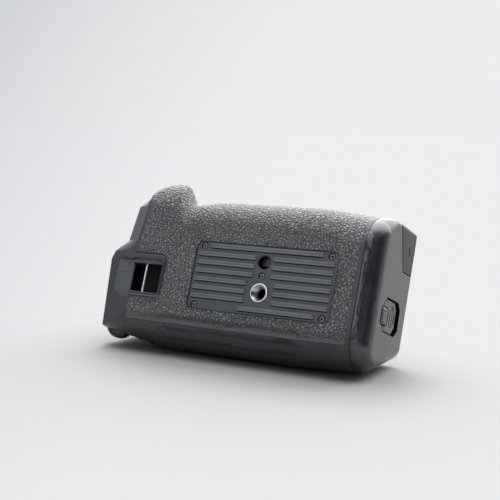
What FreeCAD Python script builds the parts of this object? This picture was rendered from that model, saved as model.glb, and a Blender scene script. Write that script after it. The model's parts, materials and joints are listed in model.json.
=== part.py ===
import FreeCAD, Part
import Sketcher

import math
import os
import re

from FreeCAD import Placement, Rotation, Vector

# Wireless file transmitter that screws under a camera and doubles as its vertical grip.
# Frame: +Z points the way the camera looks, +Y towards the camera body, +X towards the battery end.
# The origin is the mouth of the tripod socket, on the face that carries the ribbed plate.

SIZES = [
    # Casing outline, seen along Y
    ("tray_reach", 57.0, "socket axis to the battery end"),
    ("front_reach", 45.4, "socket axis to the front wall"),
    ("front_fall", 4.6, "front wall falls by this much at the battery end"),
    ("front_bend", 22.0, "place where the front wall starts to fall"),
    ("hump_rise", 8.1, "finger hump above the front wall"),
    ("hump_foot", 49.2, "foot of the hump, towards the grip end"),
    ("hump_slope", 6.6, "hump flank along X"),
    ("hump_top", 8.2, "flat top of the hump"),
    ("hump_drop", 16.8, "hump falls by this much at the grip end"),
    ("outline_left", 106.0, "socket axis to the end of the untrimmed outline"),
    ("rear_reach", 30.4, "socket axis to the rear wall"),
    ("rear_bend", 50.0, "place where the rear wall starts to rise"),
    ("rear_rise", 8.4, "rear wall rises by this much at the end of the untrimmed outline"),
    ("rear_fall", 2.0, "rear wall rises by this much at the battery end"),
    ("end_corner", 6.5, "corner radius of the battery end"),
    ("hump_corner", 6.0, "corner radius of the hump"),
    ("hump_start", 12.0, "bottom face to the place where the hump starts to fade"),
    ("hump_end", 28.0, "bottom face to the place where the hump has faded"),
    ("hump_lean", 8.2, "hump moves towards the grip end by this much as it fades"),
    ("hump_left", 0.8, "height that is left of the hump"),
    ("port_corner_rise", 1.9, "port corner above the end of the front wall"),
    ("port_corner_radius", 2.2, "corner radius at the port"),
    ("deck_edge", 2.4, "chamfer between the battery end and the deck"),
    ("wall_bend", 60.0, "bend radius of the long walls"),
    # Casing section, seen along X
    ("deck_y", 43.0, "bottom face to the deck that meets the camera"),
    ("front_round", 15.0, "rounding between the bottom face and the front wall"),
    ("rear_round", 16.0, "rounding between the bottom face and the rear wall"),
    ("end_round", 8.0, "rounding of the battery end"),
    ("rear_slant", 20.0, "slant of the rear wall, degrees"),
    ("slant_start", 14.0, "bottom face to the start of the slant"),
    ("wall", 1.5, "moulded wall"),
    ("cover_wall", 0.9, "grip cover"),
    ("split_z", 4.2, "parting plane of the two casing halves"),
    ("cap_long", 8.3, "battery end cap along X"),
    ("seam_gap", 0.3, "gap at the end cap and at the port cover"),
    ("deck_wall", 2.0, "thickness of the deck"),
    # Grip end, a bevel and a cranked end wall
    ("bevel_crease", 72.5, "socket axis to the crease of the bevel"),
    ("bevel_rise", 6.2, "bevel at the grip end, along Y"),
    ("grip_reach", 91.1, "socket axis to the grip end"),
    ("grip_z", 10.5, "widest place of the grip end, along Z"),
    ("step_in", 8.5, "end wall steps in by this much above the strap"),
    ("facet_in", 11.0, "end wall comes in by this much at the shutter button"),
    ("facet_z", 38.4, "lower edge of the facet that carries the shutter button"),
    ("facet_run", 9.4, "that facet along X"),
    ("grip_draft", 2.6, "end wall comes in by this much up to the deck"),
    # Grip cover
    ("cover_margin", 2.2, "smooth strip between the grip cover and the end cap"),
    ("cover_rear", 18.5, "grip cover edge towards the rear"),
    ("cover_left", 71.6, "grip cover edge at the crease of the bevel"),
    ("cover_top", 40.0, "bottom face to the end of the grip cover"),
    # Ribbed plate
    ("plate_wide", 75.6, "ribbed plate along X"),
    ("plate_deep", 33.3, "ribbed plate along Z"),
    ("plate_rise", 5.7, "socket axis to the plate centre, along Z"),
    ("plate_corner", 3.2, "corner radius of the plate"),
    ("plate_sink", 0.25, "plate face below the bottom face"),
    ("rib_high", 0.8, "rib above the plate face"),
    ("rib_wide", 2.1, "rib along Z"),
    ("rib_pitch", 4.1, "rib spacing along Z"),
    ("rib_first", 1.95, "plate edge to the middle of the first rib"),
    ("rib_inset", 1.5, "plate edge to the ends of the full ribs"),
    ("rib_screw_gap", 7.7, "plate edge to the ends of the ribs between the corner screws"),
    ("rib_hole_gap", 4.3, "inner rib ends beside the locating hole"),
    ("rib_socket_gap", 7.0, "inner rib ends beside the socket"),
    ("rib_label_end", 10.5, "end of the last rib, which leaves a bare patch"),
    ("screw_inset_x", 4.1, "plate edge to the corner screws, along X"),
    ("screw_inset_z", 2.25, "plate edge to the corner screws, along Z"),
    ("screw_head", 1.35, "radius of a small screw head"),
    ("screw_head_thick", 0.9, "thickness of a small screw head"),
    ("screw_core", 0.7, "radius of a small screw shank"),
    ("screw_long", 5.0, "length of a deck screw"),
    ("locator_z", 14.5, "socket axis to the locating hole"),
    ("locator_bore", 3.17, "radius of the locating hole"),
    ("mid_screw_z", 8.0, "socket axis to the small screw"),
    ("socket_rim", 4.68, "radius of the socket bush"),
    ("socket_bore", 3.175, "thread radius of the tripod socket"),
    ("socket_deep", 5.6, "depth of the tripod socket"),
    ("socket_floor", 0.8, "closed end of the tripod socket"),
    ("frame_wall", 1.6, "metal frame behind the plate"),
    ("frame_left", 52.0, "metal frame towards the grip end"),
    ("frame_right", 43.0, "metal frame towards the battery end"),
    ("frame_deep", 35.0, "metal frame along Z"),
    # Strap slot
    ("slot_left", 74.5, "strap slot edge at the grip end"),
    ("slot_right", 56.8, "strap slot edge towards the plate"),
    ("slot_top", 8.9, "strap slot edge towards the front"),
    ("slot_low", 5.2, "strap slot edge towards the rear"),
    ("slot_deep", 10.5, "depth of the strap slot"),
    ("slot_floor", 1.5, "floor under the strap slot"),
    ("bezel_left", 78.5, "strap bezel edge at the grip end"),
    ("bezel_right", 53.6, "strap bezel edge towards the plate"),
    ("bezel_top", 14.7, "strap bezel edge towards the front"),
    ("bezel_low", 8.4, "strap bezel edge towards the rear"),
    ("bezel_corner", 3.2, "cut corners of the strap bezel"),
    ("strap_step", 4.0, "depth of the strap channel"),
    ("strap_spread", 2.0, "strap channel wider than the slot, each side"),
    ("pin_thick", 0.85, "radius of the strap pin"),
    ("pin_x", 66.9, "strap pin from the centre line"),
    ("pin_y", 4.3, "strap pin below the bottom face"),
    ("pin_seat", 1.4, "strap pin end in the bezel"),
    # Battery tray
    ("pack_wide", 38.4, "battery pack along Z"),
    ("pack_thick", 21.0, "battery pack along Y"),
    ("pack_long", 56.8, "battery pack along X"),
    ("pack_edge", 1.5, "rounding of the battery pack"),
    ("pack_y", 8.6, "bottom face to the pack"),
    ("tray_wall", 0.9, "tray walls"),
    ("tray_side", 12.0, "height of the tray sides"),
    ("fit_gap", 0.3, "loose fit around the pack and the tray"),
    ("guide_wide", 6.0, "tray guide along Z"),
    ("contact_thick", 4.0, "contact block along X"),
    ("contact_blade", 1.2, "width of a contact blade"),
    ("contact_pitch", 5.5, "spacing of the contact blades"),
    ("contact_rise", 8.0, "height of a contact blade"),
    # Release latch in the end cap
    ("latch_y", 23.2, "middle of the latch window, along Y"),
    ("latch_z", -1.1, "middle of the latch window and of the tray, along Z"),
    ("latch_wide", 20.0, "latch window along Y"),
    ("latch_tall", 15.4, "latch window along Z"),
    ("latch_cut", 3.0, "corner cut of the latch window"),
    ("latch_travel", 2.6, "travel of the latch"),
    ("latch_thick", 1.6, "thickness of the latch plate"),
    ("latch_sink", 1.0, "latch plate below the end face"),
    ("latch_room", 4.4, "room for the latch between the tray and the end wall"),
    ("latch_grip", 1.2, "width of a ridge on the latch"),
    # Network port in the far corner of the battery end
    ("port_low", 21.5, "lower edge of the port corner, along Z"),
    ("port_near", 29.4, "near edge of the port corner at its lower end, along Y"),
    ("port_lean", 0.478, "lean of the near edge, along Y for each unit along Z"),
    ("jack_wide", 11.2, "network jack along Y"),
    ("jack_tall", 15.9, "network jack along Z"),
    ("jack_long", 16.0, "network jack along X"),
    ("jack_wall", 1.0, "network jack walls"),
    ("jack_deep", 13.0, "depth of the network jack"),
    ("jack_y", 34.9, "middle of the network jack, along Y"),
    ("jack_z", 31.0, "middle of the network jack, along Z"),
    ("flap_wall", 1.6, "port cover thickness"),
    # Insert that goes into the battery compartment of the camera
    ("insert_wide", 38.2, "insert along X"),
    ("insert_thick", 20.8, "insert along Z"),
    ("insert_tip", 130.5, "bottom face to the tip of the insert"),
    ("insert_x", 57.0, "insert from the centre line, towards the grip end"),
    ("insert_z", 21.8, "insert from the socket axis"),
    ("insert_edge", 2.0, "rounding of the insert"),
    ("insert_foot", 1.6, "foot of the insert stands out by this much"),
    ("insert_foot_rise", 6.0, "height of the insert's foot"),
    ("insert_cap", 5.0, "length of the insert's end cap"),
    ("blade_long", 7.0, "length of an insert contact"),
    ("blade_wide", 1.6, "width of an insert contact"),
    ("blade_rise", 0.3, "insert contact above the insert"),
    ("blade_pitch", 4.0, "spacing of the insert contacts"),
    # Lock screw and its wheel
    ("wheel_radius", 24.0, "radius of the lock wheel"),
    ("wheel_thick", 5.0, "thickness of the lock wheel"),
    ("wheel_y", 34.4, "bottom face to the wheel"),
    ("wheel_grooves", 48, "grooves around the lock wheel"),
    ("groove_wide", 1.3, "width of a grip groove"),
    ("groove_deep", 0.7, "depth of a grip groove"),
    ("wheel_slot", 16.0, "half width of the wheel slot in the rear wall"),
    ("lock_radius", 3.1, "radius of the lock screw"),
    ("lock_rise", 4.9, "thread of the lock screw above the deck pad"),
    ("lock_neck", 2.8, "radius of the plain neck of the lock screw"),
    ("lock_flange", 5.0, "radius of the lock screw's flange"),
    ("lock_flange_thick", 0.9, "thickness of the lock screw's flange"),
    ("bush_radius", 7.0, "radius of the bush over the lock wheel"),
    ("run_gap", 0.05, "running clearance of a shaft in its hole, on the radius"),
    ("align_radius", 1.6, "radius of the alignment pin"),
    ("align_rise", 3.1, "alignment pin above the deck pad"),
    ("align_neck", 1.3, "neck radius of the alignment pin"),
    ("pad_thick", 0.8, "thickness of the deck pad"),
    ("pad_left", 34.0, "deck pad towards the grip end"),
    ("pad_right", 44.0, "deck pad towards the battery end"),
    ("pad_front", 34.0, "deck pad towards the front"),
    ("pad_rear", 13.0, "deck pad towards the rear"),
    ("boss_radius", 2.6, "radius of a screw boss"),
    ("boss_long", 7.5, "length of a screw boss"),
    ("boss_left", 34.0, "screw bosses towards the grip end"),
    ("boss_right", 28.0, "screw bosses towards the battery end"),
    ("boss_front", 40.6, "front screw bosses from the socket axis"),
    ("boss_rear", 17.0, "rear screw bosses from the socket axis"),
    # Electronics
    ("board_y", 31.2, "bottom face to the main board"),
    ("board_thick", 1.6, "thickness of the boards"),
    ("board_left", 40.0, "main board towards the grip end"),
    ("board_rear", 17.5, "main board towards the rear"),
    ("board_front", 41.5, "main board towards the front"),
    ("radio_long", 22.0, "radio module along X"),
    ("radio_wide", 11.0, "radio module along Z"),
    ("radio_thick", 2.4, "thickness of the radio module"),
    ("radio_z", 32.0, "socket axis to the radio module"),
    ("antenna_long", 24.0, "antenna along X"),
    ("antenna_tall", 7.0, "antenna along Y"),
    ("antenna_thick", 0.8, "thickness of the antenna"),
    # Controls at the grip end
    ("dial_radius", 8.0, "radius of the control dials"),
    ("dial_thick", 5.4, "thickness of the control dials"),
    ("dial_grooves", 24, "grooves around a control dial"),
    ("dial_axle", 1.2, "radius of the dial axles"),
    ("dial_gap", 0.4, "gap around a dial"),
    ("ear_thick", 1.6, "ears of the dial brackets"),
    ("ear_half", 4.0, "half width of a dial bracket"),
    ("ear_back", 2.0, "back of a dial bracket"),
    ("rear_dial_x", 82.5, "rear dial from the centre line"),
    ("rear_dial_y", 14.0, "rear dial, middle of its thickness"),
    ("rear_dial_z", 20.6, "rear dial axis below the socket axis"),
    ("front_dial_x", 75.0, "front dial from the centre line"),
    ("front_dial_y", 24.0, "front dial, middle of its thickness"),
    ("front_dial_z", 25.0, "front dial axis above the socket axis"),
    ("button_radius", 2.6, "radius of the rear buttons"),
    ("button_flange", 3.3, "flange radius of the rear buttons"),
    ("button_flange_thick", 1.0, "flange thickness of the rear buttons"),
    ("button_rise", 1.5, "rear buttons above the casing"),
    ("button_gap", 0.15, "gap around a button"),
    ("button_y", 19.0, "rear buttons, along Y"),
    ("button_first_x", 71.0, "first rear button from the centre line"),
    ("button_pitch", 7.2, "spacing of the rear buttons"),
    ("shutter_radius", 5.0, "radius of the shutter button"),
    ("shutter_travel", 1.2, "travel of the shutter button"),
    ("shutter_rise", 1.8, "shutter button above the facet"),
    ("shutter_sink", 2.8, "shutter button below the facet"),
    ("ring_radius", 6.4, "radius of the ring around the shutter button"),
    ("ring_rise", 0.5, "ring above the facet"),
    ("ring_sink", 2.2, "ring below the facet"),
    ("switch_side", 7.0, "side of the shutter switch"),
    ("switch_thick", 2.0, "thickness of the shutter switch"),
    ("lever_radius", 5.6, "radius of the power lever"),
    ("lever_thick", 2.4, "thickness of the power lever"),
    ("lever_tab", 8.2, "power lever axis to the end of its tab"),
    ("lever_axle", 1.5, "radius of the power lever's axle"),
    ("lever_x", 90.6, "power lever face from the centre line"),
    ("lever_y", 24.0, "power lever, along Y"),
    ("lever_z", 4.5, "power lever below the socket axis"),
]

doc = FreeCAD.newDocument("WirelessFileTransmitter")
sheet = doc.addObject("Spreadsheet::Sheet", "Sizes")
for row, (alias, value, meaning) in enumerate(SIZES, start=1):
    sheet.set(f"A{row}", meaning)
    sheet.set(f"B{row}", str(value))
    sheet.setAlias(f"B{row}", alias)
doc.recompute()

ALIASES = {alias for alias, _, _ in SIZES}
FAR = 200.0
AXES = {
    "x": Rotation(Vector(0, 1, 0), 90),
    "y": Rotation(Vector(1, 0, 0), -90),
    "z": Rotation(),
}
NODES = []


def size(alias):
    """A driving size as the sheet holds it."""
    return float(sheet.get(alias))


def rule(text):
    """An expression in plain aliases, as the document reads it."""
    return re.sub(r"[a-z]\w*", lambda word: f"Sizes.{word[0]}" if word[0] in ALIASES else word[0], str(text))


def node(thing, label):
    """Marks an object as a sub-part that is exported under its label."""
    thing.Label = label
    NODES.append(thing)
    return thing


def move(thing, place):
    """Binds the place of an object to three expressions."""
    for letter, text in zip("xyz", place):
        thing.setExpression(f"Placement.Base.{letter}", rule(text))


def block(name, x, y, z):
    """A box between two expressions on each axis."""
    thing = doc.addObject("Part::Box", name)
    for side, (low, high) in zip(("Length", "Width", "Height"), (x, y, z)):
        thing.setExpression(side, rule(f"({high}) - ({low})"))
    move(thing, (x[0], y[0], z[0]))
    return thing


def rod(name, radius, along, span, at):
    """A cylinder along one axis, with its centre at the two other coordinates."""
    thing = doc.addObject("Part::Cylinder", name)
    thing.Placement = Placement(Vector(), AXES[along])
    place = list(at)
    place.insert("xyz".index(along), span[0])
    thing.setExpression("Radius", rule(radius))
    thing.setExpression("Height", rule(f"({span[1]}) - ({span[0]})"))
    move(thing, place)
    return thing


def tilted_rod(name, radius, turn, centre, low, high):
    """A cylinder along a tilted axis, between two distances from a point on it."""
    thing = doc.addObject("Part::Cylinder", name)
    thing.setExpression("Radius", rule(radius))
    thing.setExpression("Height", rule(f"({high}) - ({low})"))
    doc.recompute()
    start = rule_value(low)
    thing.Placement = Placement(centre + turn.multVec(Vector(0, 0, start)), turn)
    return thing


def rule_value(text):
    """The number that an expression in plain aliases gives."""
    probe = doc.addObject("Part::Box", "Probe")
    probe.setExpression("Placement.Base.x", rule(text))
    doc.recompute()
    value = probe.Placement.Base.x
    doc.removeObject(probe.Name)
    return value


def cut(name, base, *tools):
    """One object minus the others."""
    thing = doc.addObject("Part::Cut", name)
    thing.Base = base
    thing.Tool = tools[0] if len(tools) == 1 else join(f"{name}Tools", *tools)
    return thing


def join(name, *pieces):
    """Objects fused into one."""
    thing = doc.addObject("Part::MultiFuse", name)
    thing.Shapes = list(pieces)
    return thing


def meet(name, *pieces):
    """What objects have in common."""
    thing = doc.addObject("Part::MultiCommon", name)
    thing.Shapes = list(pieces)
    return thing


def group(name, *pieces):
    """Separate solids kept as one object."""
    thing = doc.addObject("Part::Compound", name)
    thing.Links = list(pieces)
    return thing


def shaped(name, shape):
    """A feature whose shape the functions below make from the sheet."""
    thing = doc.addObject("Part::Feature", name)
    thing.Shape = shape
    return thing


def rounded(name, base, radius, along):
    """The straight edges of an object along one axis, rounded."""
    doc.recompute()
    thing = doc.addObject("Part::Fillet", name)
    thing.Base = base
    picked = []
    for number, edge in enumerate(base.Shape.Edges, start=1):
        if edge.Curve.TypeId == "Part::GeomLine" and abs(getattr(edge.tangentAt(edge.FirstParameter), along)) > 0.999:
            picked.append((number, size(radius), size(radius)))
    thing.Edges = picked
    return thing


# Outline of the casing: corners with radii, and how far each comes in at the bottom face
def outline_corners():
    """Corners as x, z, radius, the shift of both at the bottom face, and the shift and radius after the fade."""
    front = size("front_reach")
    right = size("tray_reach")
    left = -size("outline_left")
    hump = front + size("hump_rise")
    foot = -size("hump_foot")
    flank = foot - size("hump_slope")
    rear = -size("rear_reach")
    front_in = -size("front_round")
    rear_in = size("rear_round")
    end_in = size("end_round")
    soft = size("wall_bend")
    corner = size("end_corner")
    lean = size("hump_lean")
    fade = size("hump_rise") - size("hump_left")
    dip = size("hump_slope") / 2
    curl = size("hump_corner")
    return [
        (right, front - size("front_fall"), corner, -end_in, front_in, 0, size("port_corner_rise"),
         size("port_corner_radius")),
        (size("front_bend"), front, soft, 0, front_in, 0, 0, soft),
        (foot + size("front_round"), front, soft / 2, 0, front_in, 0, 0, soft / 2),
        (foot, front - dip, curl / 2, 0, front_in * 0.85, -lean, dip * 0.8, curl / 2),
        (flank, hump, curl, -2, front_in * 1.03, -lean, -fade, curl),
        (flank - size("hump_top"), hump, curl * 2, -2, front_in, -lean / 2, -fade, curl * 2),
        (left, hump - size("hump_drop"), corner, end_in, front_in / 2, 0, 0, corner),
        (left, rear + size("rear_rise"), corner, end_in, rear_in / 2, 0, 0, corner),
        (-size("rear_bend"), rear, soft, 0, rear_in, 0, 0, soft),
        (size("front_bend"), rear, soft, 0, rear_in, 0, 0, soft),
        (right, rear + size("rear_fall"), corner, -end_in, rear_in - size("rear_fall") / 2, 0, 0, corner),
    ]


def inward(points, inset):
    """A counter-clockwise polygon of (x, z) points moved inwards by a distance."""
    moved = []
    count = len(points)
    for i, here in enumerate(points):
        before = (here - points[i - 1]).normalize()
        after = (points[(i + 1) % count] - here).normalize()
        first = Vector(-before.z, 0, before.x)
        second = Vector(-after.z, 0, after.x)
        moved.append(here - (first + second) * (inset / (1 + first.dot(second))))
    return moved


def ring(points, radii, y):
    """A closed wire of lines and arcs at one height."""
    edges = []
    ends = []
    count = len(points)
    for i, here in enumerate(points):
        before = (points[i - 1] - here).normalize()
        after = (points[(i + 1) % count] - here).normalize()
        half = before.getAngle(after) / 2
        reach = radii[i] / math.tan(half)
        middle = (before + after).normalize()
        centre = here + middle * (radii[i] / math.sin(half))
        ends.append((here + before * reach, centre - middle * radii[i], here + after * reach))
    lift = Vector(0, y, 0)
    for i, (start, middle, end) in enumerate(ends):
        edges.append(Part.Arc(start + lift, middle + lift, end + lift).toShape())
        edges.append(Part.makeLine(end + lift, ends[(i + 1) % count][0] + lift))
    return Part.Wire(edges)


def taken_in(height, radius):
    """Share of a rounding that is left at a height above its foot."""
    if height >= radius:
        return 0.0
    return 1 - math.sqrt(1 - (1 - height / radius) ** 2)


def faded(y, start, end):
    """Share of a fade that is done at a height."""
    return min(1.0, max(0.0, (y - start) / (end - start)))


def casing(inset):
    """The casing's body up to the deck, moved inwards by a wall."""
    slant = math.tan(math.radians(size("rear_slant")))
    start = size("slant_start")
    deepest = size("rear_round")
    right = size("tray_reach")
    levels = [inset + (deepest - inset) * share for share in (0, 0.06, 0.2, 0.4, 0.68, 1)]
    levels += [size("hump_end"), size("deck_y") - size("deck_edge"), size("deck_y")]
    corners = outline_corners()
    turns = []
    for i, (x, z, *_) in enumerate(corners):
        back = Vector(x - corners[i - 1][0], 0, z - corners[i - 1][1])
        ahead = corners[(i + 1) % len(corners)]
        turns.append(back.cross(Vector(ahead[0] - x, 0, ahead[1] - z)).y)
    wires = []
    for y in levels:
        points = []
        radii = []
        for turn, (x, z, radius, dx, dz, fade_x, fade_z, far_radius) in zip(turns, corners):
            edge = size("end_round") if x == right else size("hump_start")
            done = faded(y, edge, deepest if x == right else size("hump_end"))
            shift_x = dx * taken_in(y - inset, max(abs(dx) - inset, 1.0)) + fade_x * done
            shift_z = dz * taken_in(y - inset, max(abs(dz) - inset, 1.0)) + fade_z * done
            if x == right:
                shift_x -= faded(y, size("deck_y") - size("deck_edge"), size("deck_y")) * size("deck_edge")
            rise = slant * max(0, y - start) if z < 0 else 0
            points.append(Vector(x + shift_x, 0, z + shift_z + rise))
            level_radius = radius + (far_radius - radius) * done
            radii.append(max(level_radius - inset, level_radius / 4) if turn < 0 else level_radius + inset)
        wires.append(ring(inward(points, -inset), radii, y))
    return Part.makeLoft(wires, True, True)


def grip_end(inset):
    """Everything on the battery side of the bevel and of the cranked end wall."""
    crease = size("bevel_crease")
    reach = size("grip_reach")
    wide = size("grip_z")
    step = reach - size("step_in")
    facet = reach - size("facet_in")
    top = size("facet_z")
    run = size("facet_run")
    draft = size("grip_draft")
    low = -size("rear_reach") * 2
    high = size("front_reach") * 2
    heights = [low, wide, wide + 4.3, wide + 10, top, top + run * 0.9, high]
    slope = run / (run * 0.9)
    bevel = [crease, crease, crease + 0.2, crease + 0.4, crease - 2.2, crease - 4.1, crease - 4.1]
    wall = [reach - 0.077 * (wide - low), reach, reach - 1.5, step, facet, facet - run, facet - run]
    wall[-1] = facet - run - slope * (high - top - run * 0.9)
    bevel[-1] = wall[-1]
    wires = []
    for y, row, shift in ((0, bevel, 0), (size("bevel_rise"), wall, 0), (size("deck_y"), wall, draft)):
        points = [Vector(-x + shift + inset, y, z) for x, z in zip(row, heights)]
        points += [Vector(high, y, high), Vector(high, y, low)]
        wires.append(Part.makePolygon(points + points[:1]))
    return Part.makeLoft(wires, True, True)


def prism(points, along, low, high):
    """A polygon drawn in the plane across one axis, pulled along that axis."""
    corners = []
    for first, second in points:
        place = [first, second]
        place.insert("xyz".index(along), low)
        corners.append(Vector(*place))
    direction = [0, 0, 0]
    direction["xyz".index(along)] = high - low
    return Part.Face(Part.makePolygon(corners + corners[:1])).extrude(Vector(*direction))


def casing_skin(inset):
    """The casing with its grip end trimmed."""
    return casing(inset).common(grip_end(inset))


outer = shaped("CasingOuter", casing_skin(0))
under_cover = shaped("CasingUnderCover", casing_skin(size("cover_wall")))
inner = shaped("CasingInner", casing_skin(size("cover_wall") + size("wall")))
INSIDE = "cover_wall + wall"
DECK_LOW = "deck_y - deck_wall"

# Shared regions of the casing
below_deck = block("BelowDeck", (-FAR, FAR), (-FAR, DECK_LOW), (-FAR, FAR))
front_side = block("FrontSide", (-FAR, FAR), (-FAR, FAR), ("split_z", FAR))
rear_side = block("RearSide", (-FAR, FAR), (-FAR, FAR), (-FAR, "split_z"))
SEAM = "tray_reach - cap_long"
main_side = block("MainSide", (-FAR, SEAM), (-FAR, FAR), (-FAR, FAR))


def corner_prism(grow, low_x):
    """The corner of the battery end that stays on the casing and holds the network jack."""
    low = size("port_low") - grow
    near = size("port_near") - grow
    lean = size("port_lean")
    points = [(near, low), (FAR, low), (FAR, FAR), (near - lean * (FAR - low), FAR)]
    return prism(points, "x", low_x, FAR)


seam = size("tray_reach") - size("cap_long")
port_corner = shaped("PortCorner", corner_prism(0, seam - size("wall")))
port_gap = shaped("PortGap", corner_prism(size("seam_gap"), seam - size("wall")))


def cover_outline():
    """Outline of the grip cover, seen along Y."""
    left = -size("cover_left")
    rear = -size("cover_rear")
    right = size("tray_reach") - size("cap_long") - size("cover_margin")
    return [(left, rear), (right, rear), (right, FAR / 2), (left + 3, FAR / 2), (left + 3, size("facet_z") + 5),
            (left + 0.2, size("grip_z") + 10), (left, size("grip_z"))]


def bezel_outline():
    """Outline of the strap bezel, seen along Y."""
    left = -size("bezel_left")
    right = -size("bezel_right")
    low = -size("bezel_low")
    top = size("bezel_top")
    corner = size("bezel_corner")
    return [(left, low), (right - corner, low), (right, low + corner), (right, top - corner),
            (right - corner, top), (left + corner, top), (left, top - corner)]


# Casing halves, grip cover and deck
bezel_base = shaped("BezelBase", prism(bezel_outline(), "y", -FAR, size("slot_deep") + size("slot_floor")))
cover_prism = shaped("CoverPrism", prism(cover_outline(), "y", -FAR, size("cover_top")))
cover_region = cut("CoverRegion", cover_prism, block("RearWallSide", (-FAR, FAR), ("rear_round", FAR), (-FAR, 0)))
plate_hole_base = block("PlateHoleBase", ("-plate_wide/2", "plate_wide/2"), (-FAR, INSIDE),
                        ("plate_rise - plate_deep/2", "plate_rise + plate_deep/2"))
plate_hole = rounded("PlateHole", plate_hole_base, "plate_corner", "y")
strap_channel = block("StrapChannel", (-FAR, "-slot_right"), (-FAR, "strap_step"),
                      ("-slot_low - strap_spread/2", "slot_top + strap_spread"))
cover_pocket = cut("CoverPocket", cover_region, under_cover)
grip_cover = cut("GripCover", meet("CoverSkin", outer, cover_region), under_cover, bezel_base, plate_hole)
node(grip_cover, "grip_cover")

jack_room = block("JackRoom", ("-seam_gap + tray_reach - flap_wall - jack_long", FAR),
                  ("jack_y - jack_wide/2", "jack_y + jack_wide/2"),
                  ("jack_z - jack_tall/2", "jack_z + jack_tall/2"))
flap_room = block("FlapRoom", ("tray_reach - flap_wall", FAR), (-FAR, FAR), (-FAR, FAR))
wheel_slot = block("WheelSlot", ("-wheel_slot", "wheel_slot"), ("wheel_y - fit_gap", "wheel_y + wheel_thick + fit_gap"),
                   (-FAR, 0))


def dial_rooms(label, x, y, z):
    """Clearance of a dial in the casing."""
    span = (f"{y} - dial_thick/2 - dial_gap", f"{y} + dial_thick/2 + dial_gap")
    return rod(f"{label}Room", "dial_radius + dial_gap", "y", span, (x, z))


front_dial_room = dial_rooms("FrontDial", "-front_dial_x", "front_dial_y", "front_dial_z")
rear_dial_room = dial_rooms("RearDial", "-rear_dial_x", "rear_dial_y", "-rear_dial_z")

# Axes of the tilted controls
slant_angle = math.radians(size("rear_slant"))
rear_normal = Vector(0, math.sin(slant_angle), -math.cos(slant_angle))
rear_turn = Rotation(Vector(0, 0, 1), rear_normal)


def surface_hit(start, direction):
    """Where a straight line from inside the casing meets its outer skin."""
    line = Part.makeLine(start, start + direction * FAR)
    return line.common(outer.Shape).Vertexes[-1].Point


def axle(label, x, y, z):
    """Axle of a dial, held in the ears of its bracket."""
    half = "dial_thick/2 + dial_gap + ear_thick"
    return rod(label, "dial_axle", "y", (f"{y} - ({half})", f"{y} + {half}"), (x, z))


rear_axle = axle("RearDialAxle", "-rear_dial_x", "rear_dial_y", "-rear_dial_z")
front_axle = axle("FrontDialAxle", "-front_dial_x", "front_dial_y", "front_dial_z")
button_spots = []
for step in range(3):
    inside_point = Vector(-size("button_first_x") + step * size("button_pitch"), size("button_y"), 0)
    button_spots.append(surface_hit(inside_point, Vector(0, 0, -1)))
facet_normal = Vector(-0.9, 0, 1).normalize()
facet_turn = Rotation(Vector(0, 0, 1), facet_normal)
facet_middle = Vector(-(size("grip_reach") - size("facet_in") - size("facet_run") / 2), size("front_dial_y"),
                      size("facet_z") + size("facet_run") * 0.45)
facet_spot = surface_hit(facet_middle - facet_normal * 10, facet_normal)

button_bores = []
for number, spot in enumerate(button_spots, start=1):
    button_bores.append(tilted_rod(f"ButtonBore{number}", "button_radius + button_gap", rear_turn, spot,
                                   "-wall - cover_wall - 4", "6"))
    button_bores.append(tilted_rod(f"FlangeBore{number}", "button_flange + button_gap", rear_turn, spot,
                                   "-wall - cover_wall - 4", "-wall"))
ring_bore = tilted_rod("RingBore", "ring_radius", facet_turn, facet_spot, "-ring_sink", "8")
ring_way = tilted_rod("RingWay", "shutter_radius + button_gap", facet_turn, facet_spot, "-ring_sink - 4", "8")
lever_room = rod("LeverRoom", "lever_tab + dial_gap", "x", (-FAR, "-lever_x + lever_thick + button_gap"),
                 ("lever_y", "-lever_z"))
lever_bore = rod("LeverBore", "lever_axle + run_gap", "x", (-FAR, "-lever_x + lever_thick + 8"),
                 ("lever_y", "-lever_z"))

boss_places = [("-boss_left", "boss_front"), ("boss_right", "boss_front"), ("-boss_left", "-boss_rear"),
               ("boss_left", "-boss_rear")]


def deck_bosses(side, places):
    """Bosses under the deck, trimmed to the inside of the casing."""
    rods = []
    for number, place in enumerate(places, start=1):
        rods.append(rod(f"{side}Boss{number}", "boss_radius", "y", (f"{DECK_LOW} - boss_long", DECK_LOW), place))
    return rods


boss_bores = [rod(f"BossBore{number}", "screw_core", "y", ("deck_y - screw_long", "deck_y"), place)
              for number, place in enumerate(boss_places, start=1)]
head_bores = [rod(f"HeadBore{number}", "screw_head", "y", ("deck_y - screw_head_thick", "deck_y"), place)
              for number, place in enumerate(boss_places, start=1)]

casing_region = join("CasingRegion", main_side, port_corner)
corner_fill = meet("CornerFill", inner, port_corner, below_deck)
front_walls = cut("FrontWalls", meet("FrontPart", outer, front_side, casing_region, below_deck), inner)
front_whole = join("FrontWhole", front_walls, corner_fill, *deck_bosses("Front", boss_places[:2]))
front_shell = cut("FrontShell", front_whole, cover_pocket, bezel_base, plate_hole, jack_room, flap_room,
                  front_dial_room, front_axle, ring_bore, ring_way, boss_bores[0], boss_bores[1], strap_channel)
node(front_shell, "front_shell")

rear_walls = cut("RearWalls", meet("RearPart", outer, rear_side, main_side, below_deck), inner)
lever_seat = meet("LeverSeat", outer, rod("LeverSeatRod", "lever_tab + dial_gap + wall", "x",
                  (-FAR, "-lever_x + lever_thick + button_gap + wall"), ("lever_y", "-lever_z")), rear_side)
rear_whole = join("RearWhole", rear_walls, lever_seat, *deck_bosses("Rear", boss_places[2:]))
rear_shell = cut("RearShell", rear_whole, cover_pocket, bezel_base, plate_hole, wheel_slot, rear_dial_room,
                 rear_axle, lever_room, lever_bore, boss_bores[2], boss_bores[3], strap_channel, *button_bores)
node(rear_shell, "rear_shell")

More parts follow.
